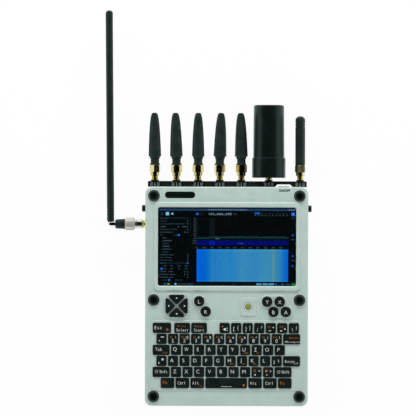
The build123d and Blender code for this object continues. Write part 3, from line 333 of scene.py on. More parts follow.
# %% Dark plastics
key_plastic, shader = base_finish("textured_black_plastic", "#111919", "#182121", 0.45, 0.3, 0.012)
shader.inputs["Specular IOR Level"].default_value = 0.25
sleeve, shader = base_finish("antenna_rubber", "#1A2624", "#22302D", 0.5, 0.5, 0.02)
shader.inputs["Specular IOR Level"].default_value = 0.3
# Also used for the discs of painted shade on the screw heads.
black_plastic_and_painted_shade, shader = base_finish("satin_black_plastic_and_painted_shade", "#0A1110", "#0F1716", 0.3, 0.5, 0.006)
shader.inputs["Specular IOR Level"].default_value = 0.4
shader.inputs["Specular Tint"].default_value = light("#C4E4DA")
shader.inputs["Sheen Weight"].default_value = 0.5
shader.inputs["Sheen Roughness"].default_value = 0.35
shader.inputs["Sheen Tint"].default_value = light("#7FB8A8")
dress(black_plastic_and_painted_shade, "can_antenna")
stub_plastic, shader = base_finish("matt_black_plastic", "#172321", "#202B29", 0.42, 0.5, 0.006)
shader.inputs["Specular IOR Level"].default_value = 0.35
dress(stub_plastic, "stub_antenna")
whip_black, shader = base_finish("coated_black_tube", "#16211F", "#1F2B29", 0.34, 0.5, 0.004)
shader.inputs["Specular IOR Level"].default_value = 0.3
shader.inputs["Specular Tint"].default_value = light("#C4E4DA")
dress(whip_black, "whip_outer_tube", "whip_collar", "whip_tip")
ball_resin, shader = base_finish("olive_cast_resin", "#858A3E", "#939850", 0.28, 0.8, 0.003)
shader.inputs["Coat Weight"].default_value = 0.4
shader.inputs["Coat Roughness"].default_value = 0.1
dress(ball_resin, "trackball")
carrier_plastic, shader = base_finish("black_acetal", "#1A1D1D", "#222525", 0.4, 0.4, 0.005)
dress(carrier_plastic, "trackball_carrier")
# Also used for the rings of painted highlight round the screws and buttons.
pale_ring_metal_and_highlight, shader = base_finish("satin_aluminium_and_painted_highlight", "#CFE0D9", "#DCEAE4", 0.5, 0.4, 0.004)
dress(pale_ring_metal_and_highlight, "trackball_ring")
print("plastics dressed")

# %% [markdown]
# ## What lies inside
#
# The boards are glass fibre with green solder resist, through which the copper tracks show as
# a slightly paler net. The mat is milky silicone. The cells have a printed shrink wrap, here
# left plain, and the holder and speakers are black plastic. None of it shows from outside,
# yet each gets a true finish, in case the case is taken off.


# %% Boards
def solder_resist(name, dark, pale, track_mm):
    """Green lacquer with a net of copper tracks under it."""
    material, shader = base_finish(name, dark, pale, 0.35, 0.6, 0.004)
    tree = material.node_tree
    place = add(tree, "TexCoord").outputs["Object"]
    net = add(tree, "TexBrick", {"Vector": place, "Scale": 1.0, "Mortar Size": 0.12 * track_mm * MM,
                                 "Brick Width": 5 * track_mm * MM, "Row Height": track_mm * MM,
                                 "Color1": (0, 0, 0, 1), "Color2": (0, 0, 0, 1), "Mortar": (1, 1, 1, 1)})
    tone = shader.inputs["Base Color"].links[0].from_socket
    track = add(tree, "Mix", {"Factor": net.outputs["Color"], 6: tone, 7: light("#3E7A52")}, data_type="RGBA")
    tree.links.new(track.outputs[2], shader.inputs["Base Color"])
    return material


resist = solder_resist("green_solder_resist", "#12402A", "#174A31", 1.6)
dress(resist, "keyboard_board", "main_board", "radio_board", "compute_module")
silicone, shader = base_finish("milky_silicone", "#A9ADAA", "#B8BBB8", 0.6, 0.8, 0.01)
shader.inputs["Subsurface Weight"].default_value = 0.2
shader.inputs["Subsurface Scale"].default_value = 1.5 * MM
dress(silicone, "key_mat")
inner_plastic, shader = base_finish("black_inner_moulding", "#16191A", "#1D2021", 0.5, 0.5, 0.01)
dress(inner_plastic, "battery_holder", "speakers", "display_panel")
wrap, shader = base_finish("shrink_wrap", "#2B5C9A", "#3167A8", 0.3, 3.0, 0.02)
shader.inputs["Coat Weight"].default_value = 0.3
dress(wrap, "battery_cells")
print("inside dressed")

# %% [markdown]
# ## Tools for new pieces
#
# New pieces are made in millimetres, each in a small mesh of its own, and then gathered into
# one piece for each part that moves. Only at the end are they turned into metres and set to
# ride on a body of the frame.


# %% Making pieces
def gather(whole, part, place=None):
    """Adds a small mesh to a larger one, moved by a matrix if one is given, and frees it."""
    if place is not None:
        bmesh.ops.transform(part, matrix=place, verts=part.verts)
    scrap = bpy.data.meshes.new("scrap")
    part.to_mesh(scrap)
    part.free()
    whole.from_mesh(scrap)
    bpy.data.meshes.remove(scrap)


def add_piece(name, shape, material, body, stands_for=(), smooth=30):
    """Makes a mesh in millimetres into a piece that rides on a body."""
    bmesh.ops.scale(shape, vec=(MM, MM, MM), verts=shape.verts)
    mesh = bpy.data.meshes.new(name)
    shape.to_mesh(mesh)
    shape.free()
    mesh.materials.append(material)
    mesh.shade_smooth()
    mesh.set_sharp_from_angle(angle=math.radians(smooth))
    piece = bpy.data.objects.new(name, mesh)
    bpy.context.scene.collection.objects.link(piece)
    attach(piece, body)
    if stands_for:
        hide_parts(*stands_for)
    return piece


def solids_of(node):
    """The box of each separate solid of a node in mm, in rows from the top, each from left to right."""
    shape = bmesh.new()
    shape.from_mesh(NODES[node].data)
    bmesh.ops.remove_doubles(shape, verts=shape.verts, dist=1e-7)
    waiting = set(shape.verts)
    boxes = []
    while waiting:
        edge_of_search = [waiting.pop()]
        corners = []
        while edge_of_search:
            vert = edge_of_search.pop()
            corners.append(vert.co / MM)
            for edge in vert.link_edges:
                other = edge.other_vert(vert)
                if other in waiting:
                    waiting.remove(other)
                    edge_of_search.append(other)
        low = Vector(min(c[axis] for c in corners) for axis in range(3))
        high = Vector(max(c[axis] for c in corners) for axis in range(3))
        boxes.append((low, high))
    shape.free()
    return sorted(boxes, key=lambda box: (-round(box[0].y), box[0].x))


print("screws", len(solids_of("face_screws")), "digit keys", len(solids_of("digit_keys")))

# %% [markdown]
# ## Keycaps
#
# A keycap is moulded: its outline has round corners, its sides draw in slightly above the
# panel, its rim is soft, and its top has a shallow dish for the fingertip. A cap could be a
# cube with a bevel, but then its plan corners and its rim would have the same radius. So the
# outline is drawn first as one face with rounded corners, then pulled up, and only the rim is
# softened.


# %% Keycap shape
def soft_prism(outline, corner, low, high, slope=0.0, slope_from=None, rim=0.3, segments=4):
    """A prism on a face with rounded corners, with sides that draw in and a softened rim."""
    shape = bmesh.new()
    face = shape.faces.new([shape.verts.new((x, y, low)) for x, y in outline])
    for vert in list(shape.verts) if corner else []:
        setback = corner * math.tan(vert.calc_edge_angle() / 2)
        bmesh.ops.bevel(shape, geom=[vert], offset=setback, segments=segments, profile=0.5,
                        affect="VERTICES", material=-1)
    face = next(iter(shape.faces))
    if face.normal.z < 0:
        bmesh.ops.reverse_faces(shape, faces=[face])
    turn = slope_from if slope_from is not None else high
    sides = bmesh.ops.extrude_face_region(shape, geom=[face])
    top = [item for item in sides["geom"] if isinstance(item, bmesh.types.BMFace)][0]
    bmesh.ops.translate(shape, vec=(0, 0, turn - low), verts=top.verts)
    bmesh.ops.recalc_face_normals(shape, faces=shape.faces)
    if turn < high:
        bmesh.ops.inset_individual(shape, faces=[top], thickness=slope, depth=high - turn)
    if rim:
        bmesh.ops.bevel(shape, geom=list(top.edges), offset=rim, segments=3, profile=0.5,
                        affect="EDGES", material=-1)
    return shape


def topmost(shape):
    """The largest of the faces that look up."""
    return max((face for face in shape.faces if face.normal.z > 0.99),
               key=lambda face: (round(face.calc_center_median().z, 4), face.calc_area()))


def corners_of(low, high):
    """The corners of a box in plan, counter-clockwise."""
    return [(low.x, low.y), (high.x, low.y), (high.x, high.y), (low.x, high.y)]


KEY_CORNER = 1.2
KEY_DRAW = 0.1              # each side draws in above the panel
KEY_RIM = 0.28
KEY_RISE = 0.9
DISH_EDGE = 0.6
DISH = 0.12
KEY_GROUPS = ("command_keys", "symbol_keys", "digit_keys", "upper_letter_keys", "home_letter_keys",
              "lower_letter_keys", "left_wide_keys", "right_wide_keys", "modifier_keys", "space_key")
key_boxes = {}

for group in KEY_GROUPS:
    caps = bmesh.new()
    key_boxes[group] = solids_of(group)
    for low, high in key_boxes[group]:
        cap = soft_prism(corners_of(low, high), KEY_CORNER, low.z, high.z, KEY_DRAW,
                         high.z - KEY_RISE, KEY_RIM)
        bmesh.ops.inset_individual(cap, faces=[topmost(cap)], thickness=DISH_EDGE, depth=0.0)
        bmesh.ops.poke(cap, faces=[topmost(cap)], offset=-DISH)
        gather(caps, cap)
    add_piece(group + "_caps", caps, key_plastic, group, (group,), smooth=40)
print("keycaps", sum(len(boxes) for boxes in key_boxes.values()))

# %% [markdown]
# ## Inks
#
# The letters are pad printed: a silicone stamp lays a film of ink about a hundredth of a
# millimetre thick. White ink on black plastic comes out as a light grey, since the film is
# thin. The second functions are orange. The film is so thin that each letter is a flat mesh
# a few hundredths above the cap.

# %% Ink finishes
white_ink, shader = base_finish("pad_printed_white_ink", "#DCE4E0", "#E8EFEC", 0.5, 0.3, 0.004)
orange_ink, shader = base_finish("pad_printed_orange_ink", "#C0701A", "#CE7C20", 0.5, 0.3, 0.004)
dark_ink, shader = base_finish("laser_marked_grey", "#141918", "#1C2221", 0.6, 0.3, 0.004)
INK_LIFT = 0.03
print("inks", 3)

# %% [markdown]
# ## Words and signs
#
# A text object is the natural way to letters, but a text cannot be joined to a mesh, so each
# text is turned into a mesh, centred and scaled until its height is right. The keys have a
# typewriter face: every letter gets a cell of the same width, and a wide one is squeezed. A
# one and an I stand on a foot. A mesh that is used twice is kept and copied. Signs that no
# letter gives, such as an arrow or a padlock, come from circles and short outlines.


# %% Word meshes
CAPITAL = 0.73              # height of a capital letter of size 1
THIN = -0.012               # change of the stroke, as a share of the size
HEAVY = 0.03                # stops and quotes are cut heavier, or they would be lost
STOPS = ".,;:'\"`-_=+~^*"
CELL = 0.7                  # cell of one letter on a key, as a share of the capitals' height
CELL_ROOM = 0.9             # share of a cell that its letter may fill
BROAD = 0.98                # widest single letter, as a share of its height
NARROW = 0.82
BROAD_LETTERS = "AMOQTWY@&"
glyph_store = {}


def glyph(text, bold):
    """The flat mesh of a text of size 1, kept for the next time."""
    if (text, bold) not in glyph_store:
        curve = bpy.data.curves.new("word", "FONT")
        curve.body = text
        curve.size = 1.0
        curve.offset = bold
        curve.resolution_u = 4
        holder = bpy.data.objects.new("word", curve)
        bpy.context.scene.collection.objects.link(holder)
        mesh = bpy.data.meshes.new_from_object(holder)
        bpy.data.objects.remove(holder)
        bpy.data.curves.remove(curve)
        glyph_store[(text, bold)] = mesh
    return glyph_store[(text, bold)]


def set_glyph(text, size, bold, room=None, high=None):
    """One mesh centred on its own width, no wider than its room. high is the height that goes to zero."""
    shape = bmesh.new()
    shape.from_mesh(glyph(text, bold))
    xs = [vert.co.x for vert in shape.verts]
    ys = [vert.co.y for vert in shape.verts]
    middle = (min(ys) + max(ys)) / 2 if high is None else high
    squeeze = min(1.0, room / (size * (max(xs) - min(xs)))) if room else 1.0
    bmesh.ops.translate(shape, vec=(-(min(xs) + max(xs)) / 2, -middle, 0), verts=shape.verts)
    bmesh.ops.scale(shape, vec=(size * squeeze, size, size), verts=shape.verts)
    return shape


def word(text, height, bold=0.0):
    """A flat word in the letters' own widths, centred. height is that of its capitals, in mm."""
    return set_glyph(text, height / CAPITAL, bold)


def key_word(text, height, cell=CELL):
    """A flat word as the keys have it: thin letters in equal cells, like those of a typewriter."""
    size = height / CAPITAL
    if len(text) == 1:
        share = BROAD if text in BROAD_LETTERS else NARROW
        return set_glyph(text, size, HEAVY if text in STOPS else THIN, room=share * height)
    whole = bmesh.new()
    for number, letter in enumerate(text):
        shape = set_glyph(letter, size, THIN, room=CELL_ROOM * cell * height, high=CAPITAL / 2)
        gather(whole, shape, Matrix.Translation(((number - (len(text) - 1) / 2) * cell * height, 0, 0)))
    return whole


def hollow(shape, stroke):
    """Turns flat shapes into outlines with a stroke of this width."""
    middles = list(shape.faces)
    bmesh.ops.inset_individual(shape, faces=middles, thickness=stroke)
    bmesh.ops.delete(shape, geom=middles, context="FACES")
    return shape


def flat_outline(points):
    """A flat face on the plane through the origin."""
    shape = bmesh.new()
    shape.faces.new([shape.verts.new((x, y, 0)) for x, y in points])
    shape.normal_update()
    return shape


def flat_disc(radius, steps=12):
    """A flat round spot."""
    shape = bmesh.new()
    bmesh.ops.create_circle(shape, cap_ends=True, segments=steps, radius=radius)
    return shape


def padlock(height):
    """A padlock: a block and a bow."""
    half = height * 0.4
    shape = flat_outline([(-half, -height / 2), (half, -height / 2),
                          (half, height * 0.1), (-half, height * 0.1)])
    hollow(shape, 0.24)
    bow = bmesh.new()
    bmesh.ops.create_circle(bow, cap_ends=False, segments=12, radius=half * 0.8)
    rim = bmesh.ops.extrude_edge_only(bow, edges=list(bow.edges))
    outer = [item for item in rim["geom"] if isinstance(item, bmesh.types.BMVert)]
    bmesh.ops.scale(bow, vec=(0.6, 0.6, 1), verts=outer)
    gather(shape, bow, Matrix.Translation((0, height * 0.12, 0)))
    return shape


def arrow_up(height):
    """The hollow arrow of a shift key."""
    half = height / 2
    wing = height * 0.6
    stem = height * 0.28
    return hollow(flat_outline([(0, half), (-wing, 0), (-stem, 0), (-stem, -half),
                                (stem, -half), (stem, 0), (wing, 0)]), 0.24)


def arrow_return(height):
    """The bent arrow of an enter key."""
    width = height * 2.2
    shape = flat_outline([(-width / 2, 0), (-width / 4, -height / 2), (-width / 4, -height / 6),
                          (width / 2, -height / 6), (width / 2, height / 2), (width / 3, height / 2),
                          (width / 3, height / 6), (-width / 4, height / 6), (-width / 4, height / 2)])
    return hollow(shape, 0.12)


def speaker(height):
    """A loudspeaker with two waves beside it."""
    shape = flat_outline([(-height * 0.9, 0), (-height * 0.1, height * 0.45), (height * 0.3, height * 0.45),
                          (height * 0.3, -height * 0.45), (-height * 0.1, -height * 0.45)])
    for side in (-1, 1):
        gather(shape, flat_disc(height * 0.16), Matrix.Translation((height * 0.8, side * height * 0.45, 0)))
    return shape


def bar(width, height):
    """A flat bar."""
    return flat_outline([(-width / 2, -height / 2), (width / 2, -height / 2),
                         (width / 2, height / 2), (-width / 2, height / 2)])


def footed(height, crown=False):
    """A stem on a foot: a one with its flag, or with a crown an I."""
    stroke = height * 0.12
    half = height / 2
    shape = bar(stroke, height)
    gather(shape, bar(height * 0.56, stroke), Matrix.Translation((0, stroke / 2 - half, 0)))
    if crown:
        gather(shape, bar(height * 0.56, stroke), Matrix.Translation((0, half - stroke / 2, 0)))
    else:
        gather(shape, flat_outline([(0, half), (-height * 0.26, half - height * 0.16),
                                    (-height * 0.26, half - height * 0.16 - stroke), (0, half - stroke)]))
    return shape


def crowned(height):
    """A capital I with a foot and a crown."""
    return footed(height, crown=True)


def ring_sign(height):
    """A small square outline."""
    return hollow(bar(height, height), height * 0.16)


print("a capital R has", len(word("R", 3.0).faces), "faces")

# %% [markdown]
# ## What stands on each key
#
# Every mark is named by its text or sign and a place on the cap: millimetres from the left
# edge and from the upper edge, and a height. Most keys share a few places, so the table of
# keys stays short. White marks and orange marks are two pieces for each group of keys.

# %% Places on a cap
LETTER = (3.05, 3.6, 3.1)
DIGIT = (3.85, 5.4, 3.0)
UPPER = (6.1, 2.8, 2.1)
CORNER = (2.65, 2.5, 1.5)
NAVIGATE = (4.9, 6.2, 1.15)
SIGNS = {"lock": padlock, "shift": arrow_up, "return": arrow_return, "speaker": speaker, "1": footed,
         "I": crowned, "square": ring_sign}
CELLS = {"Shift": 0.49, "Print": 0.85, "Pause": 0.85, "Backspace": 0.78, "Esc": 0.75, "Ctrl": 0.58,
         "Alt": 0.63, "Fn": 0.66, "Tab": 0.68}


def letter_key(text, second=None):
    """Marks of a letter key: white letters, then orange ones."""
    return [(text, *LETTER)], [(second, *NAVIGATE)] if second else []


def digit_key(text, upper, second):
    """Marks of a digit key."""
    return [(text, *DIGIT), (upper, *UPPER)], [(second, *CORNER)]


MARKS = {
    "command_keys": [
        ([("Esc", 4.3, 3.7, 2.9)], [("lock", 11.6, 5.3, 2.2)]),
        ([("Select", 6.3, 5.6, 2.4)], [("Print", 5.9, 2.5, 1.65)]),
        ([("Start", 6.1, 5.6, 2.4)], [("Pause", 5.8, 2.6, 1.65)]),
    ],
    "symbol_keys": [
        ([("speaker", 4.4, 5.1, 2.1)], [("dot", 2.2, 2.7, 1.1)]),
        ([("[", 2.2, 4.9, 3.0), ("{", 5.4, 4.0, 2.9)], []),
        ([("]", 2.4, 5.0, 3.0), ("}", 5.8, 4.0, 2.9)], []),
        ([("/", 2.5, 5.3, 3.2), ("?", 6.0, 3.4, 2.8)], []),
        ([("-", 6.1, 3.5, 2.7), ("_", 3.2, 6.1, 2.7)], [("F11", 3.0, 3.1, 1.45)]),
        ([("=", 3.1, 6.2, 2.0), ("+", 6.2, 4.7, 2.0)], [("F12", 3.4, 3.1, 1.45)]),
        ([("\\", 2.9, 5.3, 3.2), ("|", 6.1, 3.9, 2.8)], []),
    ],
    "digit_keys": [([("~", 4.65, 2.5, 3.0), ("`", 2.2, 5.5, 3.0)], [])]
    + [digit_key(str(number % 10), upper, "F" + str(number))
       for number, upper in enumerate("!@#$%^&*()", start=1)],
    "upper_letter_keys": [letter_key(text) for text in "QWERTY"]
    + [letter_key("U", "PgUp"), letter_key("I", "Ins"), letter_key("O"), letter_key("P")],
    "home_letter_keys": [([("\"", 4.9, 2.8, 3.4), ("'", 1.9, 5.7, 3.4)], [])]
    + [letter_key(text) for text in "ASDFG"]
    + [letter_key("H", "Home"), letter_key("J", "End"), letter_key("K", "PgDn"), letter_key("L"),
       ([(";", 2.0, 5.0, 3.0), (":", 5.5, 3.8, 2.9)], [])],
    "lower_letter_keys": [letter_key(text) for text in "ZXCVBNM"]
    + [([(",", 2.8, 6.2, 3.4), ("<", 6.1, 3.0, 2.5)], [("square", 2.6, 2.8, 1.7)]),
       ([(".", 2.9, 6.2, 3.4), (">", 6.0, 3.1, 2.5)], [("dot", 2.6, 3.0, 1.8)])],
    "left_wide_keys": [
        ([("Tab", 4.7, 3.4, 2.8)], [("Caps", 9.9, 6.1, 1.3)]),
        ([("shift", 3.0, 3.6, 2.7), ("Shift", 8.5, 3.7, 2.6)], []),
    ],
    "right_wide_keys": [
        ([("<", 1.7, 6.1, 1.5), ("-", 2.1, 6.1, 1.8), ("Backspace", 7.9, 6.1, 1.55)],
         [("Delete", 8.4, 2.9, 1.8)]),
        ([("Enter", 5.5, 4.1, 2.4), ("return", 10.1, 5.9, 1.7)], []),
        ([("shift", 3.2, 3.6, 2.7), ("Shift", 8.7, 3.7, 2.6)], []),
    ],
    "modifier_keys": [
        ([], [("Fn", 3.3, 3.4, 2.9)]),
        ([("Ctrl", 4.8, 3.8, 2.8)], []),
        ([("Alt", 4.0, 3.9, 2.8)], [("Cmd", 7.9, 6.1, 1.15)]),
        ([("Alt", 3.9, 3.9, 2.8)], []),
        ([("Ctrl", 4.9, 3.9, 2.8)], []),
        ([], [("Fn", 3.5, 3.8, 2.9)]),
    ],
    "space_key": [([("line", 16.9, 6.8, 0.24)], [("dot", 30.9, 5.7, 1.5)])],
}
print("marks", sum(len(white) + len(orange) for keys in MARKS.values() for white, orange in keys))


# %% Printing the keys
def mark(text, height):
    """A word or a sign of this height."""
    if text == "dot":
        return flat_disc(height / 2)
    if text == "line":
        return bar(8.7, height)
    if text in SIGNS:
        return SIGNS[text](height)
    return key_word(text, height, CELLS.get(text, CELL))


for group in KEY_GROUPS:
    films = [bmesh.new(), bmesh.new()]
    for (low, high), inks in zip(key_boxes[group], MARKS[group]):
        for film, marks in zip(films, inks):
            for text, across, down, height in marks:
                spot = Vector((low.x + across, high.y - down, high.z + INK_LIFT))
                gather(film, mark(text, height), Matrix.Translation(spot))
    for film, ink, colour in zip(films, (white_ink, orange_ink), ("white", "orange")):
        if film.faces:
            add_piece(f"{group}_{colour}_print", film, ink, group)
        else:
            film.free()
print("printed", len(KEY_GROUPS), "groups")

# %% [markdown]
# ## Direction pad
#
# The pad is four separate arms. Each is a blunt arrowhead that points outwards, with an edge
# soft enough to feel for. The outline is taken from the box of its solid, then turned for the
# other three. A small triangle is printed near the outer edge.

# %% Direction pad
PAD_TURNS = {"dpad_up": 0, "dpad_left": 90, "dpad_down": 180, "dpad_right": 270}
up_low, up_high = [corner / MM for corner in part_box("dpad_up")]
down_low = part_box("dpad_down")[0] / MM
pad_middle = Vector(((up_low.x + up_high.x) / 2, (up_high.y + down_low.y) / 2, 0))
reach_out = up_high.y - pad_middle.y
ARM_APEX = 1.0
ARM_HALF = 6.15
ARM_EDGE = 5.6
ARM_CORNER = 0.9
ARM_RIM = 0.55
arm_outline = [(0, ARM_APEX), (ARM_HALF, ARM_HALF + ARM_APEX), (ARM_EDGE, reach_out),
               (-ARM_EDGE, reach_out), (-ARM_HALF, ARM_HALF + ARM_APEX)]

for name, turn in PAD_TURNS.items():
    place = Matrix.Translation(pad_middle) @ Matrix.Rotation(math.radians(turn), 4, "Z")
    arm = soft_prism(arm_outline, ARM_CORNER, up_low.z, up_high.z, rim=ARM_RIM)
    bmesh.ops.transform(arm, matrix=place, verts=arm.verts)
    add_piece(name + "_arm", arm, key_plastic, name, (name,), smooth=40)
    sign = flat_outline([(0, 0.65), (-0.8, -0.5), (0.8, -0.5)])
    lifted = Matrix.Translation((0, reach_out - 2.4, up_high.z + INK_LIFT))
    bmesh.ops.transform(sign, matrix=place @ lifted, verts=sign.verts)
    add_piece(name + "_print", sign, white_ink, name)
print("pad centre in mm", [round(c, 1) for c in pad_middle])

# %% [markdown]
# ## Round buttons
#
# A button is turned in spirit: a disc with a soft edge and a slightly hollow top. Spinning
# half its profile gives exactly that, and the profile can be read like a drawing.


# %% Round buttons
def turned(profile, steps=40):
    """A solid of revolution about Z from pairs of radius and height, both in mm."""
    shape = bmesh.new()
    line = [shape.verts.new((radius, 0, height)) for radius, height in profile]
    edges = [shape.edges.new(pair) for pair in zip(line, line[1:])]
    bmesh.ops.spin(shape, geom=line + edges, axis=(0, 0, 1), cent=(0, 0, 0), angle=math.tau,
                   steps=steps, use_merge=True)
    bmesh.ops.remove_doubles(shape, verts=shape.verts, dist=1e-4)
    bmesh.ops.recalc_face_normals(shape, faces=shape.faces)
    return shape


def arc(centre_r, centre_h, radius, start, end, steps=5):
    """Points of a quarter round or less in a profile, angles in degrees from straight out."""
    turns = [math.radians(start + (end - start) * step / steps) for step in range(steps + 1)]
    return [(centre_r + radius * math.cos(turn), centre_h + radius * math.sin(turn)) for turn in turns]


BUTTON_EDGE = 0.8
BUTTON_HOLLOW = 0.12
BUTTON_LETTER = 3.2
LETTER_DROP = 0.4

for letter in "LRYXBA":
    name = "button_" + letter.lower()
    low, high = [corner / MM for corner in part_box(name)]
    radius = (high.x - low.x) / 2
    height = high.z - low.z
    rim = arc(radius - BUTTON_EDGE, height - BUTTON_EDGE, BUTTON_EDGE, 0, 90)
    dish = height - BUTTON_HOLLOW
    profile = [(0, 0), (radius, 0)] + rim + [(radius * 0.5, dish), (0, dish)]
    place = Matrix.Translation(((low.x + high.x) / 2, (low.y + high.y) / 2, low.z))
    button = turned(profile)
    bmesh.ops.transform(button, matrix=place, verts=button.verts)
    add_piece(name + "_cap", button, key_plastic, name, (name,), smooth=50)
    film = key_word(letter, BUTTON_LETTER)
    lifted = Matrix.Translation((0, -LETTER_DROP, height - BUTTON_HOLLOW + INK_LIFT))
    bmesh.ops.transform(film, matrix=place @ lifted, verts=film.verts)
    add_piece(name + "_print", film, white_ink, name)
print("button letters", BUTTON_LETTER, "mm")

# %% [markdown]
# ## The display
#
# Behind the glass lies a lit panel. Its picture is a mosaic of small flat patches, each with
# a colour of its own that is stored on its corners. One finish reads that colour and lets it
# glow, so a whole screen of read-outs is one piece. Places on the display are given in mm
# from its upper left corner.

# %% Display finish
glass_low, glass_high = [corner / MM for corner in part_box("cover_glass")]
panel_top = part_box("display_panel")[1].z / MM
SCREEN_LEFT = glass_low.x
SCREEN_TOP = glass_high.y
SCREEN_W = glass_high.x - glass_low.x
SCREEN_L = glass_high.y - glass_low.y
GLASS_LIFT = 0.1            # air between the panel and the glass
LAYER = 0.014               # one patch over another

lit = bpy.data.materials.new("lit_display_picture")
lit.use_nodes = True
tree = lit.node_tree
tree.nodes.clear()
stored = add(tree, "Attribute", attribute_name="glow")
place = add(tree, "TexCoord").outputs["Object"]
flicker = add(tree, "TexNoise", {"Vector": place, "Scale": grain_scale(0.5), "Detail": 1.0})
level = add(tree, "MapRange", {"Value": flicker.outputs["Fac"], "To Min": 0.9, "To Max": 1.1})
shine = add(tree, "VectorMath", {0: stored.outputs["Color"], "Scale": level.outputs[0]}, operation="SCALE")
shader = add(tree, "BsdfPrincipled", {"Base Color": light("#020303"), "Roughness": 0.2,
                                      "Specular IOR Level": 0.0, "Emission Color": shine.outputs[0],
                                      "Emission Strength": 1.0})
add(tree, "OutputMaterial", {"Surface": shader.outputs[0]})
print("display in mm", round(SCREEN_W, 1), round(SCREEN_L, 1))


# %% Patches of light
picture = bmesh.new()
glow = picture.loops.layers.float_color.new("glow")


def on_screen(u, v, layer):
    """Place of a point that is u right of and v below the upper left corner."""
    return Vector((SCREEN_LEFT + u, SCREEN_TOP - v, panel_top + LAYER * layer))


def tint(faces, colour):
    """Stores a colour on the corners of faces."""
    for face in faces:
        for loop in face.loops:
            loop[glow] = light(colour)


def patch(left, top, right, bottom, colour, layer=2):
    """A lit rectangle."""
    corners = [(left, bottom), (right, bottom), (right, top), (left, top)]
    face = picture.faces.new([picture.verts.new(on_screen(u, v, layer)) for u, v in corners])
    tint([face], colour)


def lettering(text, left, middle, height, colour, layer=3, bold=0.0, centred=False):
    """Lit words: left edge or centre, mid height and capital height in mm."""
    shape = word(text, height, bold)
    width = max(vert.co.x for vert in shape.verts) * 2
    spot = on_screen(left if centred else left + width / 2, middle, layer)
    before = len(picture.faces)
    gather(picture, shape, Matrix.Translation(spot))
    picture.faces.ensure_lookup_table()
    tint(picture.faces[before:], colour)


patch(0, 0, SCREEN_W, SCREEN_L, "#040708", 1)
print("patches", len(picture.faces))

# %% [markdown]
# The picture is that of any radio program: a title bar, a row of tools with the tuned
# frequency and a level meter, a column of settings on the left, the spectrum with its noise
# floor, a band strip with frequencies below it, the waterfall, and a task bar. Words too
# small to read are drawn as short bars.

# %% Title bar and tools
DIM = "#22323C"
MID = "#4A6272"
BLUE = "#145CC4"
DIAL_BLUE = "#A4D8F0"
DIAL_LEFT = 41.3            # middle of the first digit
DIAL_CELL = 1.74
DIAL_DIGIT_W = 1.2
DIAL_H = 2.5
DIAL_THIN = -0.01
DIAL_DOT = 0.22             # half the width of a dot
random.seed(7)

patch(0.9, 0.45, SCREEN_W - 0.6, 1.5, "#10263F")
patch(0.9, 1.5, SCREEN_W - 0.6, 2.7, "#27425F")
for number in range(16):
    start = 40.6 + number * 1.98
    patch(start, 1.5, start + random.uniform(1.0, 1.7), 2.2, "#6C8CAC", 3)
for start in (105.4, 107.4, 109.4):
    patch(start, 1.5, start + 0.9, 2.3, "#7C98B4", 3)
patch(2.1, 4.0, 4.6, 6.3, "#1C2C38")
patch(6.3, 3.9, 8.8, 6.4, "#7CC8E8")
lettering("<", 10.3, 5.2, 1.9, "#7CC0E0", bold=0.06)
patch(11.2, 4.4, 12.4, 6.0, "#6CACCC")
patch(30.7, 4.3, 32.7, 6.2, BLUE)
lettering("000", 33.6, 5.3, 1.7, "#15232C")
dial = "103.600.000"
for number, digit in enumerate(dial):
    u = DIAL_LEFT + number * DIAL_CELL
    if digit == ".":
        patch(u - DIAL_DOT, 6.1, u + DIAL_DOT, 6.55, DIAL_BLUE, 3)
        continue
    shape = set_glyph(digit, DIAL_H, DIAL_THIN, room=DIAL_DIGIT_W)
    before = len(picture.faces)
    gather(picture, shape, Matrix.Translation(on_screen(u, 5.3, 3)))
    picture.faces.ensure_lookup_table()
    tint(picture.faces[before:], DIAL_BLUE)
lettering("x", 61.5, 5.3, 2.2, MID)
patch(77.9, 3.95, 82.3, 5.3, BLUE)
patch(82.3, 4.5, 104.4, 4.75, "#20303A")
for number in range(10):
    patch(77.8 + number * 2.88, 5.75, 78.8 + number * 2.88, 6.8, "#364853")
patch(107.6, 3.9, 110.2, 6.7, "#1A6CE0")
patch(108.8, 4.9, 109.6, 5.8, "#6CA4E4", 3)
patch(107.5, 8.5, 110.4, 9.3, DIM)
print("tools drawn")

# %% Settings column
ROW_DROP = 2.27
FIRST_ROW = 8.75
# Each row: bars as start and end, then lit spots, from the left edge in mm.
ROWS = [
    ([(4.2, 8.0)], [2.6]),
    ([(1.9, 6.8)], [24.0]),
    ([(1.9, 21.0)], [24.0]),
    ([(2.0, 6.2), (19.5, 23.8)], [16.5]),
    ([(1.5, 10.0), (11.0, 15.7)], [24.0]),
    ([(1.5, 10.0), (10.8, 12.0)], [21.6, 24.0]),
    ([(1.5, 4.0), (13.0, 16.0)], []),
    ([(3.6, 7.2)], []),
    ([(3.6, 11.2)], []),
    ([(3.6, 8.5)], []),
    ([(3.6, 9.5)], []),
    ([(3.6, 10.6)], []),
    ([(3.6, 8.4)], []),
    ([(1.5, 8.1), (9.1, 12.2)], [24.0]),
    ([(1.5, 5.0), (6.0, 11.0)], [24.0]),
    ([(1.5, 7.5), (8.5, 11.5)], [24.0]),
    ([(4.0, 6.9)], [2.5]),
    ([(4.3, 7.0), (10.0, 12.2), (16.0, 18.3), (21.8, 24.0)], []),
    ([(4.3, 7.3), (9.8, 12.4), (16.0, 18.0), (21.8, 24.4)], []),
    ([(1.3, 7.0), (8.5, 12.3)], [21.6, 24.0]),
    ([(1.3, 8.4), (9.6, 13.5)], [21.6, 24.0]),
    ([(1.3, 8.3), (9.5, 12.0)], [24.0]),
    ([(3.6, 7.5), (14.0, 19.7)], []),
]
for header in (0, 16):
    top = FIRST_ROW + header * ROW_DROP - 0.75
    patch(1.5, top, 25.2, top + 1.5, "#0E1C26")
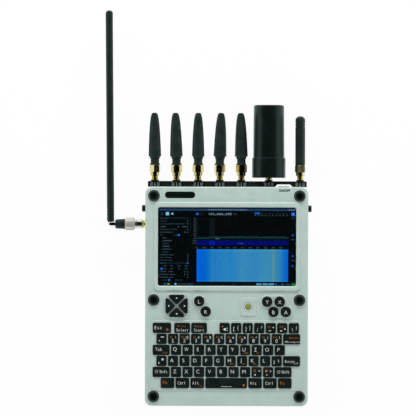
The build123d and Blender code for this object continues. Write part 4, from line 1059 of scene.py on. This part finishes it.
for number, (bars, spots) in enumerate(ROWS):
    middle = FIRST_ROW + number * ROW_DROP
    tone = random.choice(["#30444F", "#3A505C", "#27383F"])
    for start, end in bars:
        at = start
        while at < end - 0.3:
            step = min(random.uniform(0.55, 0.85), end - at)
            patch(at, middle - random.uniform(0.32, 0.5), at + step, middle + 0.42, tone, 3)
            at += step + 0.2
    for spot in spots:
        patch(spot - 0.36, middle - 0.4, spot + 0.36, middle + 0.4, "#46606E", 3)
for u, row, size in ((16.7, 6, 0.8), (3.0, 18, 0.8), (9.2, 22, 0.75), (24.0, 16, 0.55)):
    v = FIRST_ROW + row * ROW_DROP
    patch(u - size, v - size, u + size, v + size, "#1C6CD8", 3)
patch(26.0, 8.0, 26.3, 19.6, "#141D22")
print("rows", len(ROWS))

# %% Spectrum
PLOT_LEFT = 31.3
PLOT_RIGHT = 105.1
MARKER = (41.4, 46.1)
BINS = 150

patch(PLOT_LEFT - 0.25, 8.5, PLOT_LEFT, 30.8, "#26323A")
for number in range(12):
    v = 8.8 + number * 1.8
    left = 28.0 if number > 9 else 28.8
    patch(left, v - 0.35, 30.3, v + 0.35, "#34444F", 3)
    patch(PLOT_LEFT, v, PLOT_RIGHT, v + 0.08, "#0A0F12")
for number in range(1, 12):
    u = PLOT_LEFT + number * 6.17
    patch(u, 8.8, u + 0.08, 26.8, "#0A0F12")
patch(MARKER[0], 8.6, MARKER[1], 26.8, "#0D1417", 3)
patch(PLOT_LEFT, 25.0, PLOT_RIGHT, 26.84, "#04100F", 3)
step = (PLOT_RIGHT - PLOT_LEFT) / BINS
height = 24.5
for number in range(BINS):
    u = PLOT_LEFT + number * step
    lift = 0.5 if MARKER[0] < u < MARKER[1] else 0.0
    floor = 24.7 - 0.9 * math.sin(math.pi * min(1, max(0, (u - 44) / 62))) ** 0.4 - lift
    height = floor + random.uniform(-0.8, 0.5)
    patch(u, height, u + step, height + 0.3, "#20647A", 4)
    patch(u, height + 0.3, u + step, 25.2, "#08201F", 4)
patch(46.2, 24.7, 49.4, 25.5, "#4A6272", 5)
patch(PLOT_LEFT, 26.84, PLOT_RIGHT, 30.4, "#000A6E", 4)
patch(MARKER[0], 26.84, MARKER[1], 30.4, "#041C98", 5)
lettering("Channel", 64.4, 28.8, 1.0, "#4464B4", 5)
for number in range(12):
    u = PLOT_LEFT + number * 6.17
    patch(u, 30.4, u + 0.12, 30.9, "#3A4850")
    lettering(f"10{number // 3}.{(number * 3) % 9 + 1}", u, 32.5, 0.95, "#5C707C", 3, 0.0, True)
print("bins", BINS)

# %% Side knobs and task bar
for v in (22.3, 39.1, 47.1):
    patch(108.1, v - 0.65, 109.4, v + 0.65, "#0C54C8")
for v in (25.8, 42.6):
    patch(107.6, v - 0.4, 110.0, v + 0.4, "#2C4450")
patch(0.9, 60.4, SCREEN_W - 0.6, 63.0, "#0A1115")
for left, right, colour in ((4.8, 6.6, "#204C84"), (7.6, 9.4, "#708C28"), (13.5, 15.0, "#5CB4D8"),
                            (79.4, 83.7, "#4C92BA"), (84.6, 88.8, "#4C92BA"), (89.4, 93.8, "#4C92BA"),
                            (94.8, 96.1, "#1654A4"), (99.9, 101.3, "#185490"), (108.1, 110.7, "#149024")):
    patch(left, 61.1, right, 62.7, colour, 3)
patch(15.6, 61.0, 29.0, 62.9, "#13212A")
for left, right in ((16.2, 18.0), (18.6, 20.4), (21.0, 23.5), (24.1, 28.2), (103.0, 106.8)):
    patch(left, 61.6, right, 62.4, "#2E424C", 3)
add_piece("display_picture", picture, lit, "console")
print("picture done")

# %% [markdown]
# ## The waterfall
#
# The waterfall shows the spectrum's past, one line for each moment, so it has stripes that
# run up the screen at every steady signal, on a ground of noise. Its colours run from a deep
# blue at the filter's edges to a paler blue in the middle. One flat piece carries it, and
# its finish lays a ramp of colours across the width, with narrow bands for the signals. The
# noise is stretched upwards, since neighbouring lines are much alike.

# %% Waterfall
FALL_TOP = 33.8
FALL_FOOT = 59.8
# Share of the width, and colour.
FALL_TONES = ((0.0, "#006CEC"), (0.035, "#0062D6"), (0.1, "#0068D0"), (0.15, "#1478C8"), (0.155, "#1E7EC6"),
              (0.17, "#2C82BC"), (0.19, "#2080C8"), (0.32, "#2A84C2"), (0.335, "#3088BE"), (0.35, "#2884C4"),
              (0.42, "#2C86C2"), (0.5, "#3A8EBE"), (0.62, "#3488C0"), (0.75, "#3C8EBC"), (0.82, "#3C8CBA"),
              (0.838, "#5E9A90"), (0.852, "#3F8CB6"), (0.92, "#2A80C0"), (0.955, "#0C70CC"), (1.0, "#0062D8"))

fall = bpy.data.materials.new("lit_waterfall")
fall.use_nodes = True
tree = fall.node_tree
tree.nodes.clear()
place = add(tree, "TexCoord").outputs["Object"]
fall_w = PLOT_RIGHT - PLOT_LEFT
corner = on_screen(PLOT_LEFT, FALL_FOOT, 2) * MM
across = add(tree, "Mapping", {"Vector": place, "Location": -corner}, vector_type="POINT")
parts = add(tree, "SeparateXYZ", {"Vector": across.outputs[0]})
share = add(tree, "Math", {0: parts.outputs["X"], 1: fall_w * MM}, operation="DIVIDE")
ramp = add(tree, "ValToRGB", {"Fac": share.outputs[0]})
while len(ramp.color_ramp.elements) < len(FALL_TONES):
    ramp.color_ramp.elements.new(0.5)
for element, (position, colour) in zip(ramp.color_ramp.elements, FALL_TONES):
    element.position = position
for element, (position, colour) in zip(ramp.color_ramp.elements, FALL_TONES):
    element.color = light(colour)
stretched = add(tree, "Mapping", {"Vector": place, "Scale": (1.0, 0.25, 1.0)})
static = add(tree, "TexNoise", {"Vector": stretched.outputs[0], "Scale": grain_scale(0.7), "Detail": 4.0})
speckle = add(tree, "MapRange", {"Value": static.outputs["Fac"], "To Min": 0.84, "To Max": 1.3})
rise = add(tree, "Math", {0: parts.outputs["Y"], 1: (FALL_FOOT - FALL_TOP) * MM}, operation="DIVIDE")
ends = add(tree, "ValToRGB", {"Fac": rise.outputs[0]})
for position, value in ((0.045, 1.0), (0.055, 0.93), (0.93, 0.93), (0.94, 1.0)):
    ends.color_ramp.elements.new(position).color = (value, value, value, 1)
ends.color_ramp.elements[0].color = (1.12, 1.12, 1.12, 1)
ends.color_ramp.elements[-1].color = (1.12, 1.12, 1.12, 1)
both = add(tree, "Math", {0: speckle.outputs[0], 1: ends.outputs["Color"]}, operation="MULTIPLY")
shine = add(tree, "VectorMath", {0: ramp.outputs["Color"], "Scale": both.outputs[0]}, operation="SCALE")
shader = add(tree, "BsdfPrincipled", {"Base Color": light("#020303"), "Roughness": 0.2,
                                      "Specular IOR Level": 0.0, "Emission Color": shine.outputs[0],
                                      "Emission Strength": 1.0})
add(tree, "OutputMaterial", {"Surface": shader.outputs[0]})

sheet = bmesh.new()
edges = [(PLOT_LEFT, FALL_FOOT), (PLOT_RIGHT, FALL_FOOT), (PLOT_RIGHT, FALL_TOP), (PLOT_LEFT, FALL_TOP)]
sheet.faces.new([sheet.verts.new(on_screen(u, v, 2)) for u, v in edges])
add_piece("display_waterfall", sheet, fall, "console")
print("waterfall in mm", round(fall_w, 1), FALL_FOOT - FALL_TOP)

# %% [markdown]
# ## The cover glass
#
# A pane of hardened glass lies in the window, its edges ground. It is clear, so light from the
# picture passes through it, and it mirrors a little of the room. The pane is made slightly
# thinner than its place, to leave the air in which the picture lies.

# %% Cover glass
pane_glass = bpy.data.materials.new("hardened_glass")
pane_glass.use_nodes = True
tree = pane_glass.node_tree
tree.nodes.clear()
place = add(tree, "TexCoord").outputs["Object"]
smear = add(tree, "TexNoise", {"Vector": place, "Scale": grain_scale(14.0), "Detail": 2.0})
polish = add(tree, "MapRange", {"Value": smear.outputs["Fac"], "To Min": 0.01, "To Max": 0.05})
shader = add(tree, "BsdfPrincipled", {"Base Color": light("#FFFFFF"), "Roughness": polish.outputs[0],
                                      "IOR": 1.5, "Transmission Weight": 1.0})
clear = add(tree, "BsdfTransparent", {"Color": light("#FFFFFF")})
path = add(tree, "LightPath")
through = add(tree, "MixShader", {0: path.outputs["Is Shadow Ray"], 1: shader.outputs[0],
                                  2: clear.outputs[0]})
add(tree, "OutputMaterial", {"Surface": through.outputs[0]})

pane = soft_prism(corners_of(glass_low, glass_high), 1.85, glass_low.z + GLASS_LIFT, glass_high.z, rim=0.2)
add_piece("cover_glass_pane", pane, pane_glass, "console", ("cover_glass",), smooth=40)
print("pane in mm", round(glass_high.z - glass_low.z - GLASS_LIFT, 2))

# %% [markdown]
# ## Name plate and switch words
#
# A black stadium of thin anodised sheet is let into the plate above the display. Here it
# stays bare. By the notch for the power button the words ON/OFF are marked with a laser.

# %% Plate and words
plate_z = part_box("face_screws")[1].z / MM - 1.6
PLATE_MIDDLE = Vector((-37.8, 81.95, 0))
PLATE_W = 24.4
PLATE_L = 5.3
PLATE_RISE = 0.12
half = Vector((PLATE_W / 2, PLATE_L / 2, 0))
outline = corners_of(PLATE_MIDDLE - half, PLATE_MIDDLE + half)
plate = soft_prism(outline, PLATE_L / 2 - 0.02, plate_z - 0.3, plate_z + PLATE_RISE, rim=0.08, segments=10)
add_piece("bare_name_plate", plate, black_plastic_and_painted_shade, "console")
sign = word("ON/OFF", 1.85, bold=0.045)
bmesh.ops.transform(sign, matrix=Matrix.Translation((46.5, 85.6, plate_z + INK_LIFT)), verts=sign.verts)
add_piece("switch_words", sign, dark_ink, "console")
print("plate height", round(plate_z, 2))

# %% [markdown]
# ## Threaded barrels
#
# Each antenna stands on a jack with an outside thread. A real thread is a helix, and the spin
# operator makes one when it also climbs as it turns. A triangle is spun round the barrel,
# climbing one pitch each turn, and its ends run into the barrel's faces.

# %% Threads
PITCH = 0.7
RIDGE = 0.24
BARREL_STEPS = 20


def threaded_barrel(radius, low, high, from_height):
    """A barrel on Z with a helical ridge from one height to its top."""
    root = radius - RIDGE
    body = turned([(0, low), (root, low), (root, high - 0.4), (root - 0.4, high), (0, high)], BARREL_STEPS)
    turns = int((high - from_height - 0.6) / PITCH)
    ridge = bmesh.new()
    corners = [(root - 0.05, 0), (radius, PITCH * 0.45), (root - 0.05, PITCH * 0.9)]
    line = [ridge.verts.new((r, 0, from_height + h)) for r, h in corners]
    edges = [ridge.edges.new((line[at], line[(at + 1) % 3])) for at in range(3)]
    steps = turns * BARREL_STEPS
    spun = bmesh.ops.spin(ridge, geom=line + edges, axis=(0, 0, 1), cent=(0, 0, 0),
                          dvec=(0, 0, PITCH / BARREL_STEPS), angle=math.tau * turns, steps=steps)
    last = [item for item in spun["geom_last"] if isinstance(item, bmesh.types.BMVert)]
    ridge.faces.new(line)
    ridge.faces.new(last)
    bmesh.ops.recalc_face_normals(ridge, faces=ridge.faces)
    gather(body, ridge)
    return body


wall_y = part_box("antenna_rail")[0].y / MM
connector_z = (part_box("rail_jacks")[0].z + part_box("rail_jacks")[1].z) / 2 / MM
UPWARDS = Matrix.Rotation(-math.pi / 2, 4, "X")
LEFTWARDS = Matrix.Rotation(-math.pi / 2, 4, "Y")
THREAD_FROM = 5.9           # above the case wall, clear of the flange

barrels = bmesh.new()
for low, high in solids_of("rail_jacks"):
    place = Matrix.Translation(((low.x + high.x) / 2, wall_y, connector_z)) @ UPWARDS
    barrel = threaded_barrel((high.x - low.x) / 2, low.y - wall_y, high.y - wall_y, THREAD_FROM)
    gather(barrels, barrel, place)
add_piece("rail_jack_barrels", barrels, gold, "console", ("rail_jacks",), smooth=35)
print("barrels", len(solids_of("rail_jacks")))

# %% [markdown]
# ## Nuts in the rail
#
# Inside the rail each jack is held by a slim hex nut, and outside it by a flange. In the
# solids the pocket round a nut is open right through, and the white table would show in it,
# so here it gets a floor. The paler streak on both sides of a nut and the pale strips on its
# edges are painted highlights, drawn for the look. What makes those pale lines on the real one
# is not known.

# %% Rail nuts and pocket floors
SLIM_NUT = 6.9              # across flats
FLANGE_R = 3.2
FLANGE_BREAK = 0.25
RAIL_WEB = 1.0
POCKET_W = 9.4
POCKET_FLOOR_T = 6.5
STREAK_W = 7.9
STREAK_T = 9.0
EDGE_HIGHLIGHT_W = 0.7             # width of the painted highlight on an edge of a nut

rail_low, rail_high = [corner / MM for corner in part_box("antenna_rail")]
web_top = rail_high.y - wall_y
pocket_l = web_top - RAIL_WEB
flange_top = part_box("rail_nuts")[1].y / MM - wall_y
corner_r = SLIM_NUT / math.sqrt(3)
rail_nuts = bmesh.new()
floors = bmesh.new()
edge_highlights = bmesh.new()
highlight_streaks = bmesh.new()
for low, high in solids_of("rail_jacks"):
    x = (low.x + high.x) / 2
    place = Matrix.Translation((x, wall_y, connector_z)) @ UPWARDS
    hexagon = bmesh.new()
    bmesh.ops.create_cone(hexagon, cap_ends=True, segments=6, radius1=corner_r, radius2=corner_r,
                          depth=pocket_l, matrix=Matrix.Translation((0, 0, pocket_l / 2)))
    gather(rail_nuts, hexagon, place)
    # Each corner of the nut gets a thin pale strip of painted highlight.
    for corner in range(6):
        turn = Matrix.Rotation(math.radians(30 + 60 * corner), 4, "Z")
        edge = bmesh.new()
        bmesh.ops.create_cone(edge, cap_ends=True, segments=8, radius1=EDGE_HIGHLIGHT_W / 2, radius2=EDGE_HIGHLIGHT_W / 2,
                              depth=pocket_l, matrix=Matrix.Translation((0, 0, pocket_l / 2)))
        gather(edge_highlights, edge, place @ turn @ Matrix.Translation((corner_r - EDGE_HIGHLIGHT_W / 2, 0, 0)))
    flange = turned([(0, web_top), (FLANGE_R, web_top), (FLANGE_R, flange_top - FLANGE_BREAK),
                     (FLANGE_R - FLANGE_BREAK, flange_top), (0, flange_top)], 24)
    gather(rail_nuts, flange, place)
    for shape, width, thick in ((floors, POCKET_W, POCKET_FLOOR_T), (highlight_streaks, STREAK_W, STREAK_T)):
        middle = Vector((x, wall_y + pocket_l / 2, rail_low.z + thick / 2))
        size = Matrix.Diagonal((width, pocket_l, thick, 1))
        floor = bmesh.new()
        bmesh.ops.create_cube(floor, size=1.0, matrix=Matrix.Translation(middle) @ size)
        gather(shape, floor)
add_piece("rail_nut_set", rail_nuts, oxide, "console", ("rail_nuts",), smooth=25)
# Painted highlights: pale strips on the nut corners and pale streaks beside each nut.
add_piece("rail_nut_edge_highlights", edge_highlights, nickel_and_edge_highlight, "console")
add_piece("rail_pocket_floors", floors, anodised, "console")
add_piece("rail_pocket_highlight_streaks", highlight_streaks, grey_painted_shade_and_highlight, "console")
print("rail nuts", len(solids_of("rail_jacks")))

# %% [markdown]
# ## The knurled nut
#
# The whip is held by a nut with a rolled diamond knurl. Rings of points run round the nut,
# and every second point of every second ring stands out, so that the faces between them make
# small diamonds. The ends stay smooth, where the tool ran out.

# %% Knurl
KNURL_ROUND = 56
KNURL_RINGS = 17
KNURL_DEPTH = 0.3

nut_low, nut_high = [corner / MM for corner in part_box("whip_nut")]
nut_radius = (nut_high.y - nut_low.y) / 2
nut_length = nut_high.x - nut_low.x
nut = bmesh.new()
ring = bmesh.ops.create_circle(nut, cap_ends=False, segments=KNURL_ROUND, radius=nut_radius - 0.5)["verts"]
edges = list(nut.edges)
heights = [0.0, 0.5] + [0.5 + (nut_length - 1.0) * step / KNURL_RINGS for step in range(1, KNURL_RINGS + 1)]
heights.append(nut_length)
level = 0.0
for number, height in enumerate(heights[1:], start=1):
    grown = bmesh.ops.extrude_edge_only(nut, edges=edges)["geom"]
    ring = [item for item in grown if isinstance(item, bmesh.types.BMVert)]
    edges = [item for item in grown if isinstance(item, bmesh.types.BMEdge)
             and all(vert in ring for vert in item.verts)]
    last = number == len(heights) - 1
    for vert in ring:
        step = round(math.atan2(vert.co.y, vert.co.x) / math.tau * KNURL_ROUND)
        plain = number == 1 or last or number == len(heights) - 2
        proud = 0.0 if plain or (step + number) % 2 else KNURL_DEPTH
        flat = Vector((vert.co.x, vert.co.y, 0)).normalized()
        radius = nut_radius - 0.5 if last else nut_radius - KNURL_DEPTH + proud
        vert.co = flat * radius + Vector((0, 0, height))
bmesh.ops.holes_fill(nut, edges=[edge for edge in nut.edges if edge.is_boundary], sides=KNURL_ROUND)
bmesh.ops.recalc_face_normals(nut, faces=nut.faces)
nut_middle = (nut_low + nut_high) / 2
place = Matrix.Translation((nut_high.x, nut_middle.y, nut_middle.z)) @ LEFTWARDS
bmesh.ops.transform(nut, matrix=place, verts=nut.verts)
add_piece("whip_knurled_nut", nut, nickel_and_edge_highlight, "console", ("whip_nut",), smooth=12)
print("knurl points", KNURL_ROUND * KNURL_RINGS)

# %% [markdown]
# ## The fork of the whip
#
# The fork that the whip folds in is turned from a rod with a round end, and then slotted. So
# each cheek is half of a capsule. Its polished crown mirrors the dark lens in the middle and
# the white room at both sides.

# %% Fork
SLOT_HALF = 1.2
FORK_ROOT = 1.3
CAP_STEPS = 8

fork_low, fork_high = [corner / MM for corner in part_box("whip_fork")]
fork_r = (fork_high.y - fork_low.y) / 2
cheek = (fork_high.z - fork_low.z) / 2 - SLOT_HALF
pivot = Vector((fork_low.x + fork_r, (fork_low.y + fork_high.y) / 2, (fork_low.z + fork_high.z) / 2))
fork_l = fork_high.x - pivot.x
fork = bmesh.new()
for side in (0, math.pi):
    round_end = arc(0, 0, fork_r, -90, 0, CAP_STEPS)
    half = turned(round_end + [(fork_r, fork_l), (0, fork_l)], 32)
    bmesh.ops.transform(half, matrix=Matrix.Rotation(math.pi / 2, 4, "Y"), verts=half.verts)
    bmesh.ops.bisect_plane(half, geom=list(half.verts) + list(half.edges) + list(half.faces),
                           plane_co=(0, 0, 0), plane_no=(0, 0, 1), clear_inner=True)
    bmesh.ops.holes_fill(half, edges=[edge for edge in half.edges if edge.is_boundary])
    bmesh.ops.scale(half, vec=(1, 1, cheek / fork_r), verts=half.verts)
    bmesh.ops.translate(half, vec=(0, 0, SLOT_HALF), verts=half.verts)
    bmesh.ops.recalc_face_normals(half, faces=half.faces)
    gather(fork, half, Matrix.Translation(pivot) @ Matrix.Rotation(side, 4, "X"))
root = bmesh.new()
size = Matrix.Diagonal((FORK_ROOT, 2 * fork_r, 2 * SLOT_HALF, 1))
middle = pivot + Vector((fork_l - FORK_ROOT / 2, 0, 0))
bmesh.ops.create_cube(root, size=1.0, matrix=Matrix.Translation(middle) @ size)
gather(fork, root)
add_piece("whip_round_fork", fork, chrome, "whip_swivel", ("whip_fork",), smooth=30)
print("fork in mm", round(fork_l + fork_r, 1))

# %% [markdown]
# ## Painted highlight rims
#
# A thin bright line runs round each screw and round button. It is a painted highlight: a pale
# flat ring that stands in for the light caught on the edge of each seat. The trackball's ring
# sits in a groove, whose shade is painted as a grey line. Each screw head gets a dark disc of
# painted shade round its socket and a grey ring of painted highlight near its edge.

# %% Rims
RIM_W = 0.4
RIM_LIFT = 0.02
SEAT_R = 4.9
HOLE_GAP = 0.25


def flat_ring(inner, outer, thick=RIM_LIFT):
    """A thin washer on the plane through the origin."""
    return turned([(inner, 0), (outer, 0), (outer, thick), (inner, thick), (inner, 0)], 48)


# Pale flat rings of painted highlight round the screw seats and the button holes.
rims = bmesh.new()
for low, high in solids_of("face_screws"):
    place = Matrix.Translation(((low.x + high.x) / 2, (low.y + high.y) / 2, plate_z))
    gather(rims, flat_ring(SEAT_R, SEAT_R + RIM_W), place)
collar_z = plate_z + 0.5
for letter in "LRYXBA":
    low, high = [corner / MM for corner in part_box("button_" + letter.lower())]
    hole_r = (high.x - low.x) / 2 + HOLE_GAP
    place = Matrix.Translation(((low.x + high.x) / 2, (low.y + high.y) / 2, collar_z))
    gather(rims, flat_ring(hole_r, hole_r + RIM_W), place)
add_piece("painted_highlight_rims", rims, pale_ring_metal_and_highlight, "console")

# %% Painted shade and highlight on the screw heads
SCREW_DISC_R = 2.85
SCREW_DISC_HOLE = 0.45      # share of the disc's radius that the socket takes
SCREW_HIGHLIGHT_R = 3.55
SCREW_HIGHLIGHT_W = 0.28
# A dark disc of painted shade round each socket, and a grey ring of painted highlight near the edge of each
# head.
shade_discs = bmesh.new()
highlight_rings = bmesh.new()
for low, high in solids_of("face_screws"):
    place = Matrix.Translation(((low.x + high.x) / 2, (low.y + high.y) / 2, high.z))
    gather(shade_discs, flat_ring(SCREW_DISC_R * SCREW_DISC_HOLE, SCREW_DISC_R), place)
    gather(highlight_rings, flat_ring(SCREW_HIGHLIGHT_R, SCREW_HIGHLIGHT_R + SCREW_HIGHLIGHT_W), place)
add_piece("screw_painted_shade_discs", shade_discs, black_plastic_and_painted_shade, "console")
add_piece("screw_painted_highlight_rings", highlight_rings, screw_highlight_grey, "console")
low, high = [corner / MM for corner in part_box("trackball_ring")]
ring_r = (high.x - low.x) / 2
# A grey ring of painted shade in the groove round the trackball's ring.
groove = flat_ring(ring_r - 0.35, ring_r + 0.1)
place = Matrix.Translation(((low.x + high.x) / 2, (low.y + high.y) / 2, high.z))
bmesh.ops.transform(groove, matrix=place, verts=groove.verts)
add_piece("trackball_groove_painted_shade", groove, grey_painted_shade_and_highlight, "console")
print("rims", 1 + len("LRYXBA") + len(solids_of("face_screws")))

# %% [markdown]
# ## Paddle antennas
#
# A paddle is a flexible sleeve over a helical aerial: flat front and back, bevelled sides,
# and a long tip that closes slowly and then fast. It is built like a stack of eight-sided
# sections, each extruded from the one below and made smaller.

# %% Paddles
NECK_D = 8.2
WAIST_D = 6.9
NECK_L = 7.0
NECK_STEP = 1.1
BLADE_HALF_W = 4.95
BLADE_HALF_T = 3.3
FLAT_SHARE = 0.46
LIP_L = 0.9
LIP = 0.25
CLOSING = 0.42              # how fast the tip closes
DRAW = 0.15                 # share of the width lost evenly along the length
SECTIONS = 18
PADDLE_TURNS = (4.0, -4.0, 0.0, -16.0, 18.0)
PADDLE_LEANS = (-0.6, -1.25, 0.0, 1.45, -0.8)      # how far each soft blade leans, in degrees
nut_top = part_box("antenna_nuts")[1].y / MM - wall_y


def eight_sided(shape, height, half_w, half_t):
    """Eight points of a flat section with bevelled sides."""
    flat = half_w * FLAT_SHARE
    edge = half_t * FLAT_SHARE
    corners = ((half_w, -edge), (half_w, edge), (flat, half_t), (-flat, half_t),
               (-half_w, edge), (-half_w, -edge), (-flat, -half_t), (flat, -half_t))
    return [shape.verts.new((x, y, height)) for x, y in corners]


def blade(foot, length):
    """The flat sleeve, from its shoulder to its tip."""
    shape = bmesh.new()
    base = eight_sided(shape, foot, BLADE_HALF_W + LIP, BLADE_HALF_T + LIP)
    face = shape.faces.new(base)
    share_before = 1.0
    height_before = foot
    rise = length - LIP_L
    turns = [math.radians(88 * step / SECTIONS) for step in range(SECTIONS + 1)]
    shares = [(foot + LIP_L + rise * math.sin(turn), (1 - DRAW * math.sin(turn)) * math.cos(turn) ** CLOSING)
              for turn in turns]
    lip_w = (BLADE_HALF_W + LIP) / BLADE_HALF_W
    lip_t = (BLADE_HALF_T + LIP) / BLADE_HALF_T
    for height, share in shares:
        grown = bmesh.ops.extrude_face_region(shape, geom=[face])["geom"]
        face = [item for item in grown if isinstance(item, bmesh.types.BMFace)][0]
        scale_w = share / share_before / (lip_w if height_before == foot else 1.0)
        scale_t = share / share_before / (lip_t if height_before == foot else 1.0)
        bmesh.ops.scale(shape, vec=(scale_w, scale_t, 1), verts=face.verts)
        bmesh.ops.translate(shape, vec=(0, 0, height - height_before), verts=face.verts)
        share_before = share
        height_before = height
    bmesh.ops.recalc_face_normals(shape, faces=shape.faces)
    return shape


def paddle(spigot_foot, tip):
    """Neck, lip and blade of one paddle on the Z axis."""
    shoulder = nut_top + NECK_L
    neck_r = NECK_D / 2
    waist_r = WAIST_D / 2
    waist_low = nut_top + NECK_STEP
    waist_high = shoulder - 2 * NECK_STEP
    shape = turned([(0, spigot_foot), (2.7, spigot_foot), (2.7, nut_top),
                    (neck_r, nut_top), (neck_r, waist_low),
                    (waist_r, waist_low + 0.2), (waist_r, waist_high), (neck_r, waist_high + NECK_STEP / 2),
                    (neck_r, shoulder + 0.1), (0, shoulder + 0.1)], 32)
    gather(shape, blade(shoulder, tip - shoulder))
    return shape


for number, (turn, lean) in enumerate(zip(PADDLE_TURNS, PADDLE_LEANS)):
    name = f"paddle_antenna_{number + 1}"
    low, high = [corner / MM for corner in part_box(name)]
    place = Matrix.Translation(((low.x + high.x) / 2, wall_y, connector_z)) @ UPWARDS
    shape = paddle(low.y - wall_y, high.y - wall_y)
    bmesh.ops.transform(shape, matrix=Matrix.Rotation(math.radians(turn), 4, "Z"), verts=shape.verts)
    foot = Vector((0, 0, nut_top))
    tilt = Matrix.Rotation(math.radians(lean), 4, "Y")
    leaning = Matrix.Translation(foot) @ tilt @ Matrix.Translation(-foot)
    above = [vert for vert in shape.verts if vert.co.z > nut_top + 0.01]
    bmesh.ops.transform(shape, matrix=leaning, verts=above)
    bmesh.ops.transform(shape, matrix=place, verts=shape.verts)
    add_piece(name + "_sleeve", shape, sleeve, name, (name,), smooth=24)
print("paddles", len(PADDLE_TURNS))

# %% [markdown]
# ## The tone curve
#
# The tone curve is set to the plain one, so that a colour shows as it is written.

# %% Finish
bpy.context.scene.view_settings.view_transform = "Standard"
